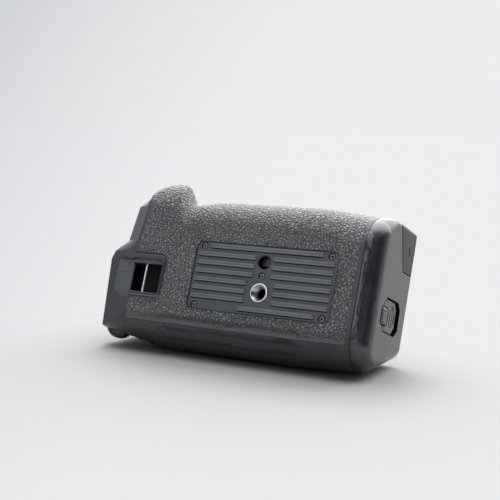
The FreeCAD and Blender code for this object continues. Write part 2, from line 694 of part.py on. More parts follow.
deck_region = block("DeckRegion", (-FAR, FAR), (DECK_LOW, "deck_y"), (-FAR, FAR))
deck_holes = [
    rod("DeckLockHole", "lock_neck + run_gap", "y", (DECK_LOW, "deck_y"), ("0", "0")),
    rod("DeckAlignHole", "align_neck", "y", (DECK_LOW, "deck_y"), ("0", "locator_z")),
]
deck_plate = cut("DeckPlate", meet("DeckSlice", outer, deck_region, casing_region), *deck_holes, *boss_bores,
                 *head_bores)
node(deck_plate, "deck_plate")

deck_pad_base = block("DeckPadBase", ("-pad_left", "pad_right"), ("deck_y", "deck_y + pad_thick"),
                      ("-pad_rear", "pad_front"))
deck_pad = cut("DeckPad", rounded("DeckPadRound", deck_pad_base, "plate_corner", "y"),
               rod("PadLockHole", "lock_radius + 2*fit_gap", "y", ("deck_y", "deck_y + pad_thick"), ("0", "0")),
               rod("PadAlignHole", "align_radius + 2*fit_gap", "y", ("deck_y", "deck_y + pad_thick"), ("0", "locator_z")))
node(deck_pad, "deck_pad")


def small_screw(name, place, head_span, shank_span):
    """A small screw along Y with a flat head."""
    return join(name, rod(f"{name}Head", "screw_head", "y", head_span, place),
                rod(f"{name}Shank", "screw_core", "y", shank_span, place))


deck_screws = group("DeckScrews", *[small_screw(f"DeckScrew{number}", place, ("deck_y - screw_head_thick", "deck_y"),
                                                ("deck_y - screw_long", "deck_y"))
                                    for number, place in enumerate(boss_places, start=1)])
node(deck_screws, "deck_screws")
PAD_TOP = "deck_y + pad_thick + fit_gap"
alignment_pin = join("AlignmentPin",
                     rod("AlignmentTip", "align_radius", "y", (PAD_TOP, f"{PAD_TOP} + align_rise"), ("0", "locator_z")),
                     rod("AlignmentNeck", "align_neck", "y", (DECK_LOW, PAD_TOP), ("0", "locator_z")))
node(alignment_pin, "alignment_pin")

# Strap slot with its bezel and pin
bezel_room = block("BezelRoom", ("-slot_left", "-slot_right"), (-FAR, "slot_deep"), ("-slot_low", "slot_top"))
pin_span = ("-slot_low - pin_seat", "slot_top + pin_seat")
strap_bezel = cut("StrapBezel", meet("BezelBody", outer, bezel_base), bezel_room, strap_channel,
                  rod("PinBore", "pin_thick", "z", pin_span, ("-pin_x", "pin_y")))
node(strap_bezel, "strap_bezel")
node(rod("StrapPin", "pin_thick", "z", pin_span, ("-pin_x", "pin_y")), "strap_pin")


# Part Design helpers: sketches on a body's own base plane, one rectangle or circle each
def flat_sketch(body, name, height):
    """An empty sketch across the body's Z axis."""
    sketch = body.newObject("Sketcher::SketchObject", name)
    plane = next(plane for plane in body.Origin.OriginFeatures if plane.Role == "XY_Plane")
    sketch.AttachmentSupport = [(plane, "")]
    sketch.MapMode = "FlatFace"
    sketch.setExpression("AttachmentOffset.Base.z", rule(height))
    return sketch


def circle_sketch(body, name, radius, at=("0", "0"), height="0"):
    """A circle with its radius and place bound to the sheet."""
    sketch = flat_sketch(body, name, height)
    sketch.addGeometry(Part.Circle(Vector(), Vector(0, 0, 1), 1), False)
    sketch.addConstraint(Sketcher.Constraint("Coincident", 0, 3, -1, 1))
    sketch.addConstraint(Sketcher.Constraint("Radius", 0, 1))
    sketch.setExpression("Constraints[1]", rule(radius))
    sketch.setExpression("AttachmentOffset.Base.x", rule(at[0]))
    sketch.setExpression("AttachmentOffset.Base.y", rule(at[1]))
    return sketch


def rectangle_sketch(body, name, x, y, height="0"):
    """A rectangle between two expressions on each axis."""
    sketch = flat_sketch(body, name, height)
    corners = [Vector(-1, -1, 0), Vector(1, -1, 0), Vector(1, 1, 0), Vector(-1, 1, 0)]
    for i, corner in enumerate(corners):
        sketch.addGeometry(Part.LineSegment(corner, corners[(i + 1) % 4]), False)
    for i in range(4):
        sketch.addConstraint(Sketcher.Constraint("Coincident", i, 2, (i + 1) % 4, 1))
    for i, kind in enumerate(("Horizontal", "Vertical", "Horizontal", "Vertical")):
        sketch.addConstraint(Sketcher.Constraint(kind, i))
    sketch.addConstraint(Sketcher.Constraint("Symmetric", 0, 1, 2, 1, -1, 1))
    sketch.addConstraint(Sketcher.Constraint("DistanceX", 0, 1, 0, 2, 2))
    sketch.addConstraint(Sketcher.Constraint("DistanceY", 1, 1, 1, 2, 2))
    sketch.setExpression("Constraints[9]", rule(f"({x[1]}) - ({x[0]})"))
    sketch.setExpression("Constraints[10]", rule(f"({y[1]}) - ({y[0]})"))
    sketch.setExpression("AttachmentOffset.Base.x", rule(f"(({x[1]}) + ({x[0]})) / 2"))
    sketch.setExpression("AttachmentOffset.Base.y", rule(f"(({y[1]}) + ({y[0]})) / 2"))
    return sketch


def feature(body, kind, name, sketch, length, backwards=False):
    """A Pad or a Pocket of a sketch."""
    thing = body.newObject(f"PartDesign::{kind}", name)
    thing.Profile = sketch
    thing.setExpression("Length", rule(length))
    thing.Reversed = backwards
    sketch.Visibility = False
    return thing


def repeat_round(body, name, source, count):
    """A feature repeated around the body's Z axis."""
    pattern = body.newObject("PartDesign::PolarPattern", name)
    pattern.Originals = [source]
    axis = next(line for line in body.Origin.OriginFeatures if line.Role == "Z_Axis")
    pattern.Axis = (axis, [""])
    pattern.Angle = 360
    pattern.setExpression("Occurrences", rule(count))
    body.Tip = pattern
    return pattern


def rim_groove(body, name, radius, thick):
    """One grip groove through the rim of a wheel, ready to be repeated."""
    outline = rectangle_sketch(body, f"{name}Outline", ("-groove_wide/2", "groove_wide/2"),
                               (f"{radius} - groove_deep", f"{radius} + groove_deep"), thick)
    return feature(body, "Pocket", name, outline, thick)


def repeat_rows(body, name, source, pitch, count):
    """A feature repeated along the body's Y axis, downwards."""
    pattern = body.newObject("PartDesign::LinearPattern", name)
    pattern.Originals = [source]
    axis = next(line for line in body.Origin.OriginFeatures if line.Role == "Y_Axis")
    pattern.Direction = (axis, [""])
    pattern.Reversed = True
    pattern.Occurrences = count
    pattern.setExpression("Length", rule(f"{pitch} * {count - 1}"))
    body.Tip = pattern
    return pattern


def round_body_edges(body, name, radius):
    """The edges of a body along its Z axis, rounded."""
    doc.recompute()
    tip = body.Tip
    fillet = body.newObject("PartDesign::Fillet", name)
    picked = []
    for number, edge in enumerate(tip.Shape.Edges, start=1):
        if edge.Curve.TypeId == "Part::GeomLine" and abs(edge.tangentAt(edge.FirstParameter).z) > 0.999:
            picked.append(f"Edge{number}")
    fillet.Base = (tip, picked)
    fillet.setExpression("Radius", rule(radius))
    return fillet


def body_at(name, place, turn):
    """An empty body at a place bound to the sheet."""
    body = doc.addObject("PartDesign::Body", name)
    body.Placement = Placement(Vector(), turn)
    move(body, place)
    return body


# Ribbed plate, drawn face up on the bottom of the casing
OUT_OF_BOTTOM = Rotation(Vector(1, 0, 0), 90)
plate = body_at("BasePlate", ("0", "plate_sink", "0"), OUT_OF_BOTTOM)
plate_y = ("plate_rise - plate_deep/2 + fit_gap/2", "plate_rise + plate_deep/2 - fit_gap/2")
plate_x = ("-plate_wide/2 + fit_gap/2", "plate_wide/2 - fit_gap/2")
feature(plate, "Pad", "PlatePad", rectangle_sketch(plate, "PlateOutline", plate_x, plate_y),
        f"{INSIDE} - plate_sink", backwards=True)
round_body_edges(plate, "PlateCorners", "plate_corner - fit_gap/2")
SCREW_X = "plate_wide/2 - screw_inset_x"
SCREW_Z = "(plate_deep/2 - screw_inset_z)"
plate_screw_places = [(f"-({SCREW_X})", f"plate_rise + {SCREW_Z}"), (SCREW_X, f"plate_rise + {SCREW_Z}"),
                      (f"-({SCREW_X})", f"plate_rise - {SCREW_Z}"), (SCREW_X, f"plate_rise - {SCREW_Z}"),
                      ("0", "mid_screw_z")]
plate_bores = [("Socket", "socket_rim", ("0", "0")), ("Locator", "locator_bore", ("0", "locator_z"))]
plate_bores += [(f"Screw{number}", "screw_head", place) for number, place in enumerate(plate_screw_places, start=1)]
for label, radius, place in plate_bores:
    feature(plate, "Pocket", f"Plate{label}Bore", circle_sketch(plate, f"Plate{label}Circle", radius, place), INSIDE)


def rib_row(name, spans, row, count):
    """One row of ribs, repeated over the rows below it."""
    for side, span in zip(("Left", "Right"), spans):
        middle = f"plate_rise + plate_deep/2 - rib_first - rib_pitch * {row}"
        sketch = rectangle_sketch(plate, f"{name}{side}Sketch", span, (f"{middle} - rib_wide/2", f"{middle} + rib_wide/2"))
        rib = feature(plate, "Pad", f"{name}{side}", sketch, "rib_high")
        if count > 1:
            repeat_rows(plate, f"{name}{side}Rows", rib, "rib_pitch", count)


RIB_END = "plate_wide/2 - rib_inset"
RIB_SHORT = "plate_wide/2 - rib_screw_gap"
rib_row("TopRib", [(f"-({RIB_SHORT})", RIB_SHORT)], 0, 1)
rib_row("HoleRib", [(f"-({RIB_END})", "-rib_hole_gap"), ("rib_hole_gap", RIB_END)], 1, 3)
rib_row("SocketRib", [(f"-({RIB_END})", "-rib_socket_gap"), ("rib_socket_gap", RIB_END)], 4, 3)
rib_row("LastRib", [("-rib_label_end", RIB_SHORT)], 7, 1)
node(plate, "base_plate")
plate_screws = group("PlateScrews", *[small_screw(f"PlateScrew{number}", place,
                                                  ("plate_sink", "plate_sink + screw_head_thick"),
                                                  ("plate_sink", f"{INSIDE} + frame_wall"))
                                      for number, place in enumerate(plate_screw_places, start=1)])
node(plate_screws, "plate_screws")

# Tripod socket and the metal frame behind the plate
socket_end = "socket_deep + socket_floor"
socket = cut("TripodSocket", rod("SocketBush", "socket_rim", "y", ("0", socket_end), ("0", "0")),
             rod("SocketBore", "socket_bore", "y", ("0", "socket_deep"), ("0", "0")))
node(socket, "tripod_socket")
frame_y = (INSIDE, f"{INSIDE} + frame_wall")
frame_block = block("FrameBlock", ("-frame_left", "frame_right"), frame_y,
                    ("plate_rise - frame_deep/2", "plate_rise + frame_deep/2"))
frame_bores = [rod("FrameSocketBore", "socket_rim", "y", frame_y, ("0", "0")),
               rod("FrameLocatorBore", "locator_bore", "y", frame_y, ("0", "locator_z"))]
frame_bores += [rod(f"FrameScrewBore{number}", "screw_core", "y", frame_y, place)
                for number, place in enumerate(plate_screw_places, start=1)]
node(cut("MetalFrame", meet("FrameInside", frame_block, inner), *frame_bores), "metal_frame")

# Lock wheel and its screw
wheel = body_at("LockWheel", ("0", "wheel_y + wheel_thick", "0"), OUT_OF_BOTTOM)
feature(wheel, "Pad", "WheelPad", circle_sketch(wheel, "WheelOutline", "wheel_radius"), "wheel_thick")
feature(wheel, "Pocket", "WheelBore", circle_sketch(wheel, "WheelBoreCircle", "lock_neck", height="wheel_thick"),
        "wheel_thick")
repeat_round(wheel, "WheelGrooves", rim_groove(wheel, "WheelGroove", "wheel_radius", "wheel_thick"), "wheel_grooves")
node(wheel, "lock_wheel")
lock_screw = join("LockScrew",
                  rod("LockThread", "lock_radius", "y", (PAD_TOP, f"{PAD_TOP} + lock_rise"), ("0", "0")),
                  rod("LockNeck", "lock_neck", "y", ("wheel_y", PAD_TOP), ("0", "0")),
                  rod("LockFlange", "lock_flange", "y", ("wheel_y - lock_flange_thick", "wheel_y"), ("0", "0")))
node(lock_screw, "lock_screw")
bush_y = ("wheel_y + wheel_thick + fit_gap", DECK_LOW)
wheel_bush = cut("WheelBush", rod("BushBody", "bush_radius", "y", bush_y, ("0", "0")),
                 rod("BushBore", "lock_neck + run_gap", "y", bush_y, ("0", "0")))
node(wheel_bush, "wheel_bush")

# Insert for the battery compartment of the camera
def insert_block(name, grow, low, high):
    """A length of the insert."""
    x = (f"-insert_x - insert_wide/2 - ({grow})", f"-insert_x + insert_wide/2 + ({grow})")
    z = (f"insert_z - insert_thick/2 - ({grow})", f"insert_z + insert_thick/2 + ({grow})")
    return rounded(f"{name}Round", block(name, x, (low, high), z), "insert_edge", "y")


insert_body = join("InsertBody", insert_block("InsertShaft", "0", "deck_y", "insert_tip - insert_cap"),
                   insert_block("InsertFoot", "insert_foot", "deck_y", "deck_y + insert_foot_rise"))
node(insert_body, "insert_body")
node(insert_block("InsertCap", "0", "insert_tip - insert_cap", "insert_tip"), "insert_cap")
blade_places = [f"-insert_x + blade_pitch * {step - 1.5}" for step in range(4)]
blades = [block(f"InsertBlade{number}", (f"{x} - blade_wide/2", f"{x} + blade_wide/2"),
                ("insert_tip - insert_cap - blade_long", "insert_tip - insert_cap"),
                ("insert_z - insert_thick/2 - blade_rise", "insert_z - insert_thick/2"))
          for number, x in enumerate(blade_places, start=1)]
node(group("InsertContacts", *blades), "insert_contacts")

# Electronics
board_y = ("board_y", "board_y + board_thick")
jack_x = ("tray_reach - flap_wall - jack_long", "tray_reach - flap_wall - fit_gap")
board_block = block("BoardBlock", ("-board_left", f"{jack_x[0]} - fit_gap"), board_y, ("-board_rear", "board_front"))
node(meet("MainBoard", board_block, inner), "main_board")
radio_block = block("RadioModule", ("-boss_left + boss_radius", "-boss_left + boss_radius + radio_long"),
                    ("board_y + board_thick", "board_y + board_thick + radio_thick"),
                    ("radio_z - radio_wide/2", "radio_z + radio_wide/2"))
node(radio_block, "radio_module")
antenna_block = block("Antenna", ("-antenna_long/2", "antenna_long/2"),
                      ("board_y + board_thick", "board_y + board_thick + antenna_tall"),
                      ("board_front - antenna_thick - 2*fit_gap", "board_front - 2*fit_gap"))
node(antenna_block, "antenna")
jack_body = block("JackBody", jack_x, ("jack_y - jack_wide/2", "jack_y + jack_wide/2"),
                  ("jack_z - jack_tall/2", "jack_z + jack_tall/2"))
jack_hollow = block("JackHollow", (f"{jack_x[1]} - jack_deep", jack_x[1]),
                    ("jack_y - jack_wide/2 + jack_wall", "jack_y + jack_wide/2 - jack_wall"),
                    ("jack_z - jack_tall/2 + jack_wall", "jack_z + jack_tall/2 - jack_wall"))
node(cut("NetworkJack", jack_body, jack_hollow), "network_jack")

# Port cover over the jack
port_flap = meet("PortFlap", outer, below_deck, shaped("FlapPrism", corner_prism(-size("seam_gap"), -FAR)),
                 block("FlapSide", ("tray_reach - flap_wall + fit_gap/2", FAR), (-FAR, FAR), (-FAR, FAR)))
node(port_flap, "port_cover")

# End cap with its latch window
end_side = block("EndSide", (f"{SEAM} + seam_gap", FAR), (-FAR, FAR), (-FAR, FAR))
cap_hollow = meet("CapHollow", inner, below_deck)


def window_outline(grow, shift):
    """Outline of the latch window as (y, z), with its cut corners."""
    half_y = size("latch_wide") / 2 + grow
    half_z = size("latch_tall") / 2 + grow
    corner = size("latch_cut")
    y = size("latch_y") + shift
    z = size("latch_z")
    signs = [(-1, -1, True), (1, -1, False), (1, 1, True), (-1, 1, False)]
    points = []
    for sign_y, sign_z, y_last in signs:
        first = (y + sign_y * half_y, z + sign_z * (half_z - corner))
        second = (y + sign_y * (half_y - corner), z + sign_z * half_z)
        points += [first, second] if y_last else [second, first]
    return points


window = shaped("LatchWindow", prism(window_outline(0, 0), "x", seam, FAR))
end_cap = cut("EndCap", meet("CapPart", outer, end_side), cap_hollow, port_gap, window)
node(end_cap, "end_cap")

# Battery tray, pack and contacts
tray_x = (f"tray_reach - ({INSIDE}) - pack_long - 2*fit_gap - 2*tray_wall - latch_room", f"tray_reach - ({INSIDE})")
pack_right = f"tray_reach - ({INSIDE}) - latch_room - tray_wall - fit_gap"
pack_left = f"{pack_right} - pack_long"
pack_z = ("latch_z - pack_wide/2", "latch_z + pack_wide/2")
tray_z = ("latch_z - pack_wide/2 - fit_gap - tray_wall", "latch_z + pack_wide/2 + fit_gap + tray_wall")
tray_low = "pack_y - tray_wall"
tray_block = block("TrayBlock", tray_x, (tray_low, "pack_y + tray_side"), tray_z)
tray_hollow = block("TrayHollow", (f"{pack_left} - fit_gap", f"{pack_right} + fit_gap"), ("pack_y", FAR),
                    ("latch_z - pack_wide/2 - fit_gap", "latch_z + pack_wide/2 + fit_gap"))
tray_nose = block("TrayNose", (f"{pack_right} + fit_gap + tray_wall", FAR), (-FAR, FAR), (-FAR, FAR))
tray_end = block("TrayEnd", (f"{pack_right} + fit_gap", f"{pack_right} + fit_gap + tray_wall"),
                 (tray_low, "pack_y + pack_thick + 3"), tray_z)
tray_ribs = [block(f"TrayRib{number}", (f"{pack_right} + fit_gap", tray_x[1]), (tray_low, "pack_y + tray_side"), z)
             for number, z in enumerate([(tray_z[0], f"{tray_z[0]} + tray_wall"), (f"{tray_z[1]} - tray_wall", tray_z[1])],
                                        start=1)]
node(join("BatteryTray", cut("TrayBox", tray_block, tray_hollow, tray_nose), tray_end, *tray_ribs), "battery_tray")
pack = rounded("BatteryPack", block("PackBlock", (pack_left, pack_right), ("pack_y", "pack_y + pack_thick"), pack_z),
               "pack_edge", "x")
node(pack, "battery_pack")
guide_y = (f"{INSIDE} + frame_wall", f"{tray_low} - fit_gap/2")
contact_x = (f"{tray_x[0]} - contact_thick - fit_gap", f"{tray_x[0]} - fit_gap")
guides = [block(f"TrayGuide{number}", (contact_x[0], "frame_right - 2"), guide_y, z)
          for number, z in enumerate([("plate_rise - frame_deep/2", "plate_rise - frame_deep/2 + guide_wide"),
                                      (f"{tray_z[1]} - guide_wide", tray_z[1])], start=1)]
node(group("TrayGuides", *guides), "tray_guides")
node(block("ContactBlock", contact_x, (guide_y[1], "board_y"),
           ("latch_z - pack_wide/4", "latch_z + pack_wide/4")), "contact_block")
contact_places = [f"latch_z + contact_pitch * {step - 1}" for step in range(3)]
springs = [block(f"ContactBlade{number}", (contact_x[1], f"{pack_left} - fit_gap/2"),
                 ("pack_y + tray_side + 0.5", "pack_y + tray_side + contact_rise"),
                 (f"{z} - contact_blade/2", f"{z} + contact_blade/2"))
           for number, z in enumerate(contact_places, start=1)]
node(group("BayContacts", *springs), "bay_contacts")

# Release latch in the window of the end cap
latch_x = ("tray_reach - latch_sink - latch_thick", "tray_reach - latch_sink")
latch_span = ("latch_y - latch_wide/2 + fit_gap", "latch_y + latch_wide/2 - fit_gap - latch_travel")
latch_outline = shaped("LatchOutline", prism(window_outline(-size("fit_gap"), 0), "x", 0, FAR))
latch_limit = shaped("LatchLimit", prism(window_outline(-size("fit_gap"), -size("latch_travel")), "x", 0, FAR))
latch_band = block("LatchBand", latch_x, (-FAR, FAR), (-FAR, FAR))
latch_stem = block("LatchStem", (f"{pack_right} + fit_gap + tray_wall + fit_gap", latch_x[0]),
                   ("latch_y - latch_wide/4", "latch_y"), ("latch_z - latch_tall/4", "latch_z + latch_tall/4"))
ridges = [block(f"LatchRidge{step}", (latch_x[1], f"{latch_x[1]} + latch_grip/2"),
                (f"{latch_span[0]} + latch_grip * {2 * step + 1.5}", f"{latch_span[0]} + latch_grip * {2 * step + 2.5}"),
                ("latch_z - latch_tall/4", "latch_z + latch_tall/4"))
          for step in range(3)]
node(join("TrayLatch", meet("LatchPlate", latch_outline, latch_limit, latch_band), latch_stem, *ridges), "tray_latch")


# Control dials with their axles and brackets
def dial(label, x, y, z):
    """A grooved thumb wheel that turns about Y."""
    wheel_body = body_at(label, (x, f"{y} + dial_thick/2", z), OUT_OF_BOTTOM)
    feature(wheel_body, "Pad", f"{label}Pad", circle_sketch(wheel_body, f"{label}Outline", "dial_radius"), "dial_thick")
    bore = circle_sketch(wheel_body, f"{label}BoreCircle", "dial_axle + run_gap", height="dial_thick")
    feature(wheel_body, "Pocket", f"{label}Bore", bore, "dial_thick")
    rim = rim_groove(wheel_body, f"{label}Groove", "dial_radius", "dial_thick")
    repeat_round(wheel_body, f"{label}Grooves", rim, "dial_grooves")
    return wheel_body


def dial_bracket(label, x, y, back, ears, room):
    """Two ears and a back, which hold the axle of a dial inside the casing."""
    low = f"{y} - dial_thick/2 - dial_gap - ear_thick"
    high = f"{y} + dial_thick/2 + dial_gap + ear_thick"
    whole = block(f"{label}Whole", ears[0], (low, high), ears[1])
    rear = block(f"{label}Back", back[0], (low, high), back[1])
    axle = rod(f"{label}AxleBore", "dial_axle", "y", (low, high), x)
    return cut(label, meet(f"{label}Inside", join(f"{label}Join", whole, rear), inner), room, axle)


rear_at = ("-rear_dial_x", "-rear_dial_z")
front_at = ("-front_dial_x", "front_dial_z")
node(dial("RearDial", rear_at[0], "rear_dial_y", rear_at[1]), "rear_dial")
node(dial("FrontDial", front_at[0], "front_dial_y", front_at[1]), "front_dial")
node(rear_axle, "rear_dial_axle")
node(front_axle, "front_dial_axle")
rear_back = ((f"{rear_at[0]} - ear_half", f"{rear_at[0]} + ear_half"),
             (f"{rear_at[1]} + dial_radius + dial_gap", f"{rear_at[1]} + dial_radius + dial_gap + ear_back"))
rear_ears = (rear_back[0], (f"{rear_at[1]} - ear_half", f"{rear_at[1]} + dial_radius + dial_gap + ear_back"))
node(dial_bracket("RearDialBracket", rear_at, "rear_dial_y", rear_back, rear_ears, rear_dial_room),
     "rear_dial_bracket")
front_back = ((f"{front_at[0]} + dial_radius + dial_gap", f"{front_at[0]} + dial_radius + dial_gap + ear_back"),
              (f"{front_at[1]} - ear_half", f"{front_at[1]} + ear_half"))
front_ears = ((f"{front_at[0]} - dial_radius", f"{front_at[0]} + dial_radius + dial_gap + ear_back"), front_back[1])
node(dial_bracket("FrontDialBracket", front_at, "front_dial_y", front_back, front_ears, front_dial_room),
     "front_dial_bracket")

# Rear buttons on their switch board
for number, (spot, name) in enumerate(zip(button_spots, ("focus_point_button", "exposure_lock_button",
                                                         "focus_start_button")), start=1):
    cap = tilted_rod(f"ButtonCap{number}", "button_radius", rear_turn, spot,
                     "-wall - cover_wall", "button_rise")
    flange = tilted_rod(f"ButtonFlange{number}", "button_flange", rear_turn, spot,
                        "-wall - cover_wall - button_flange_thick", "-wall - cover_wall")
    node(join(f"Button{number}", cap, flange), name)

# Shutter button with its ring and switch
node(cut("ShutterRing", tilted_rod("RingBody", "ring_radius", facet_turn, facet_spot, "-ring_sink", "ring_rise"),
         ring_way), "shutter_ring")
node(tilted_rod("ShutterButton", "shutter_radius", facet_turn, facet_spot, "-shutter_sink", "shutter_rise"),
     "shutter_button")
node(tilted_rod("ShutterSwitch", "switch_side/2", facet_turn, facet_spot,
                "-shutter_sink - shutter_travel - fit_gap - switch_thick", "-shutter_sink - shutter_travel - fit_gap"),
     "shutter_switch")

# Power lever on the grip end
lever_at = ("lever_y", "-lever_z")
lever_face = ("-lever_x", "-lever_x + lever_thick")
lever_disc = rod("LeverDisc", "lever_radius", "x", lever_face, lever_at)
lever_shaft = rod("LeverShaft", "lever_axle", "x", ("-lever_x + lever_thick", "-lever_x + lever_thick + 5"), lever_at)
lever_tab = block("LeverTab", lever_face, ("lever_y", "lever_y + lever_tab"), ("-lever_z - lever_axle", "-lever_z + lever_axle"))
node(join("PowerLever", lever_disc, lever_shaft, lever_tab), "power_lever")

doc.recompute()
faults = []
for thing in doc.Objects:
    if {"Invalid", "Error"} & set(thing.State):
        faults.append(f"{thing.Name}: {thing.State}")
for thing in NODES:
    if thing.Shape.isNull() or not thing.Shape.isValid() or not thing.Shape.Solids:
        faults.append(f"{thing.Label}: no valid solid")
if faults:
    raise RuntimeError("; ".join(faults))

os.makedirs("parts", exist_ok=True)
for thing in NODES:
    thing.Shape.exportStep(f"parts/{thing.Label}.step")
    print(thing.Label, len(thing.Shape.Solids), round(thing.Shape.Volume))
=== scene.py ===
"""Battery and radio grip for a camera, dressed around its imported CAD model."""
from __future__ import annotations

import json
import logging
import math
from dataclasses import dataclass, field, replace
from enum import Enum
from typing import Any, Callable, Sequence

import bmesh
import bpy
import numpy as np
from mathutils import Matrix, Vector

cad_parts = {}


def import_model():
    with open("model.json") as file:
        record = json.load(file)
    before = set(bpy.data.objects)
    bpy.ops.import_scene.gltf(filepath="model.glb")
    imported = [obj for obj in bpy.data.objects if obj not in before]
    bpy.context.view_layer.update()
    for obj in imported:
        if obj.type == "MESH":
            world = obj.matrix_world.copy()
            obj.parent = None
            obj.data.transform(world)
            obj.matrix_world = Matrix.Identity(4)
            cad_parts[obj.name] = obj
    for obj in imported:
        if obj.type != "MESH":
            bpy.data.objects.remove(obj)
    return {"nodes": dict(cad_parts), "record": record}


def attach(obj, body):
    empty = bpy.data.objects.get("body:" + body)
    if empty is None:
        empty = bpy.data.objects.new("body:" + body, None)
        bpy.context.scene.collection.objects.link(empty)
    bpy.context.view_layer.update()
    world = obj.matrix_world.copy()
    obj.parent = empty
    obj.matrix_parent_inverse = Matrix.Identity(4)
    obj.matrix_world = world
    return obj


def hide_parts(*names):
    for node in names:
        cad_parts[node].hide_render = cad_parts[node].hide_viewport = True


LOG = logging.getLogger("grip")
MM = 0.001
SEED = 7
DOME_SMOOTHNESS = 0.35
HEIGHTS_PER_MM = 20
Colour = tuple[float, float, float]
Point = tuple[float, float, float]
Box = tuple[float, float, float, float]


class Sum(Enum):
    """What a Math node works out."""

    ADD = "ADD"
    SUBTRACT = "SUBTRACT"
    MULTIPLY = "MULTIPLY"
    DIVIDE = "DIVIDE"
    FRACTION = "FRACT"
    SIZE = "ABSOLUTE"


class Arrow(Enum):
    """What a Vector Math node works out."""

    SUBTRACT = "SUBTRACT"
    SCALE_AND_ADD = "MULTIPLY_ADD"
    UNIT = "NORMALIZE"
    DOT = "DOT_PRODUCT"


class Cells(Enum):
    """What a Voronoi texture measures."""

    DOMES = "SMOOTH_F1"
    EDGES = "DISTANCE_TO_EDGE"


class Carried(Enum):
    """What each point of a mesh carries for the Geometry Nodes tree."""

    NUMBER = "FLOAT"
    VECTOR = "FLOAT_VECTOR"


def sum_method(operation: Sum, swapped: bool = False) -> Callable[["Wire", Any], "Wire"]:
    """Make the method behind one of Python's operators.

    Args:
        operation: What the Math node works out.
        swapped: The wire is the second value, as in 1 - mask.

    Returns:
        The method.
    """
    def method(wire: "Wire", other: Any) -> "Wire":
        """The Math node on the two values."""
        return wire.math(operation, *((other, wire) if swapped else (wire, other)))
    return method


class Wire:
    """An output socket that takes part in sums."""

    __add__ = sum_method(Sum.ADD)
    __radd__ = sum_method(Sum.ADD, True)
    __sub__ = sum_method(Sum.SUBTRACT)
    __rsub__ = sum_method(Sum.SUBTRACT, True)
    __mul__ = sum_method(Sum.MULTIPLY)
    __rmul__ = sum_method(Sum.MULTIPLY, True)
    __truediv__ = sum_method(Sum.DIVIDE)
    __rtruediv__ = sum_method(Sum.DIVIDE, True)

    def __init__(self, board: "Board", socket: bpy.types.NodeSocket | None) -> None:
        """Keep the socket and the board that it is on."""
        self.board = board
        self.socket = socket

    def math(self, operation: Sum, *values: Any) -> "Wire":
        """One Math node on these values."""
        return self.board.node("ShaderNodeMath", {"operation": operation}, dict(enumerate(values)))

    def above(self, low: float, high: float) -> "Wire":
        """A smooth step from 0 at low to 1 at high."""
        return self.board.node("ShaderNodeMapRange", {"interpolation_type": "SMOOTHSTEP"},
                               {0: self, 1: low, 2: high, 3: 0.0, 4: 1.0})

    def fraction(self) -> "Wire":
        """The part of this value after the decimal point."""
        return self.math(Sum.FRACTION, self)

    def size(self) -> "Wire":
        """This value without its sign."""
        return self.math(Sum.SIZE, self)


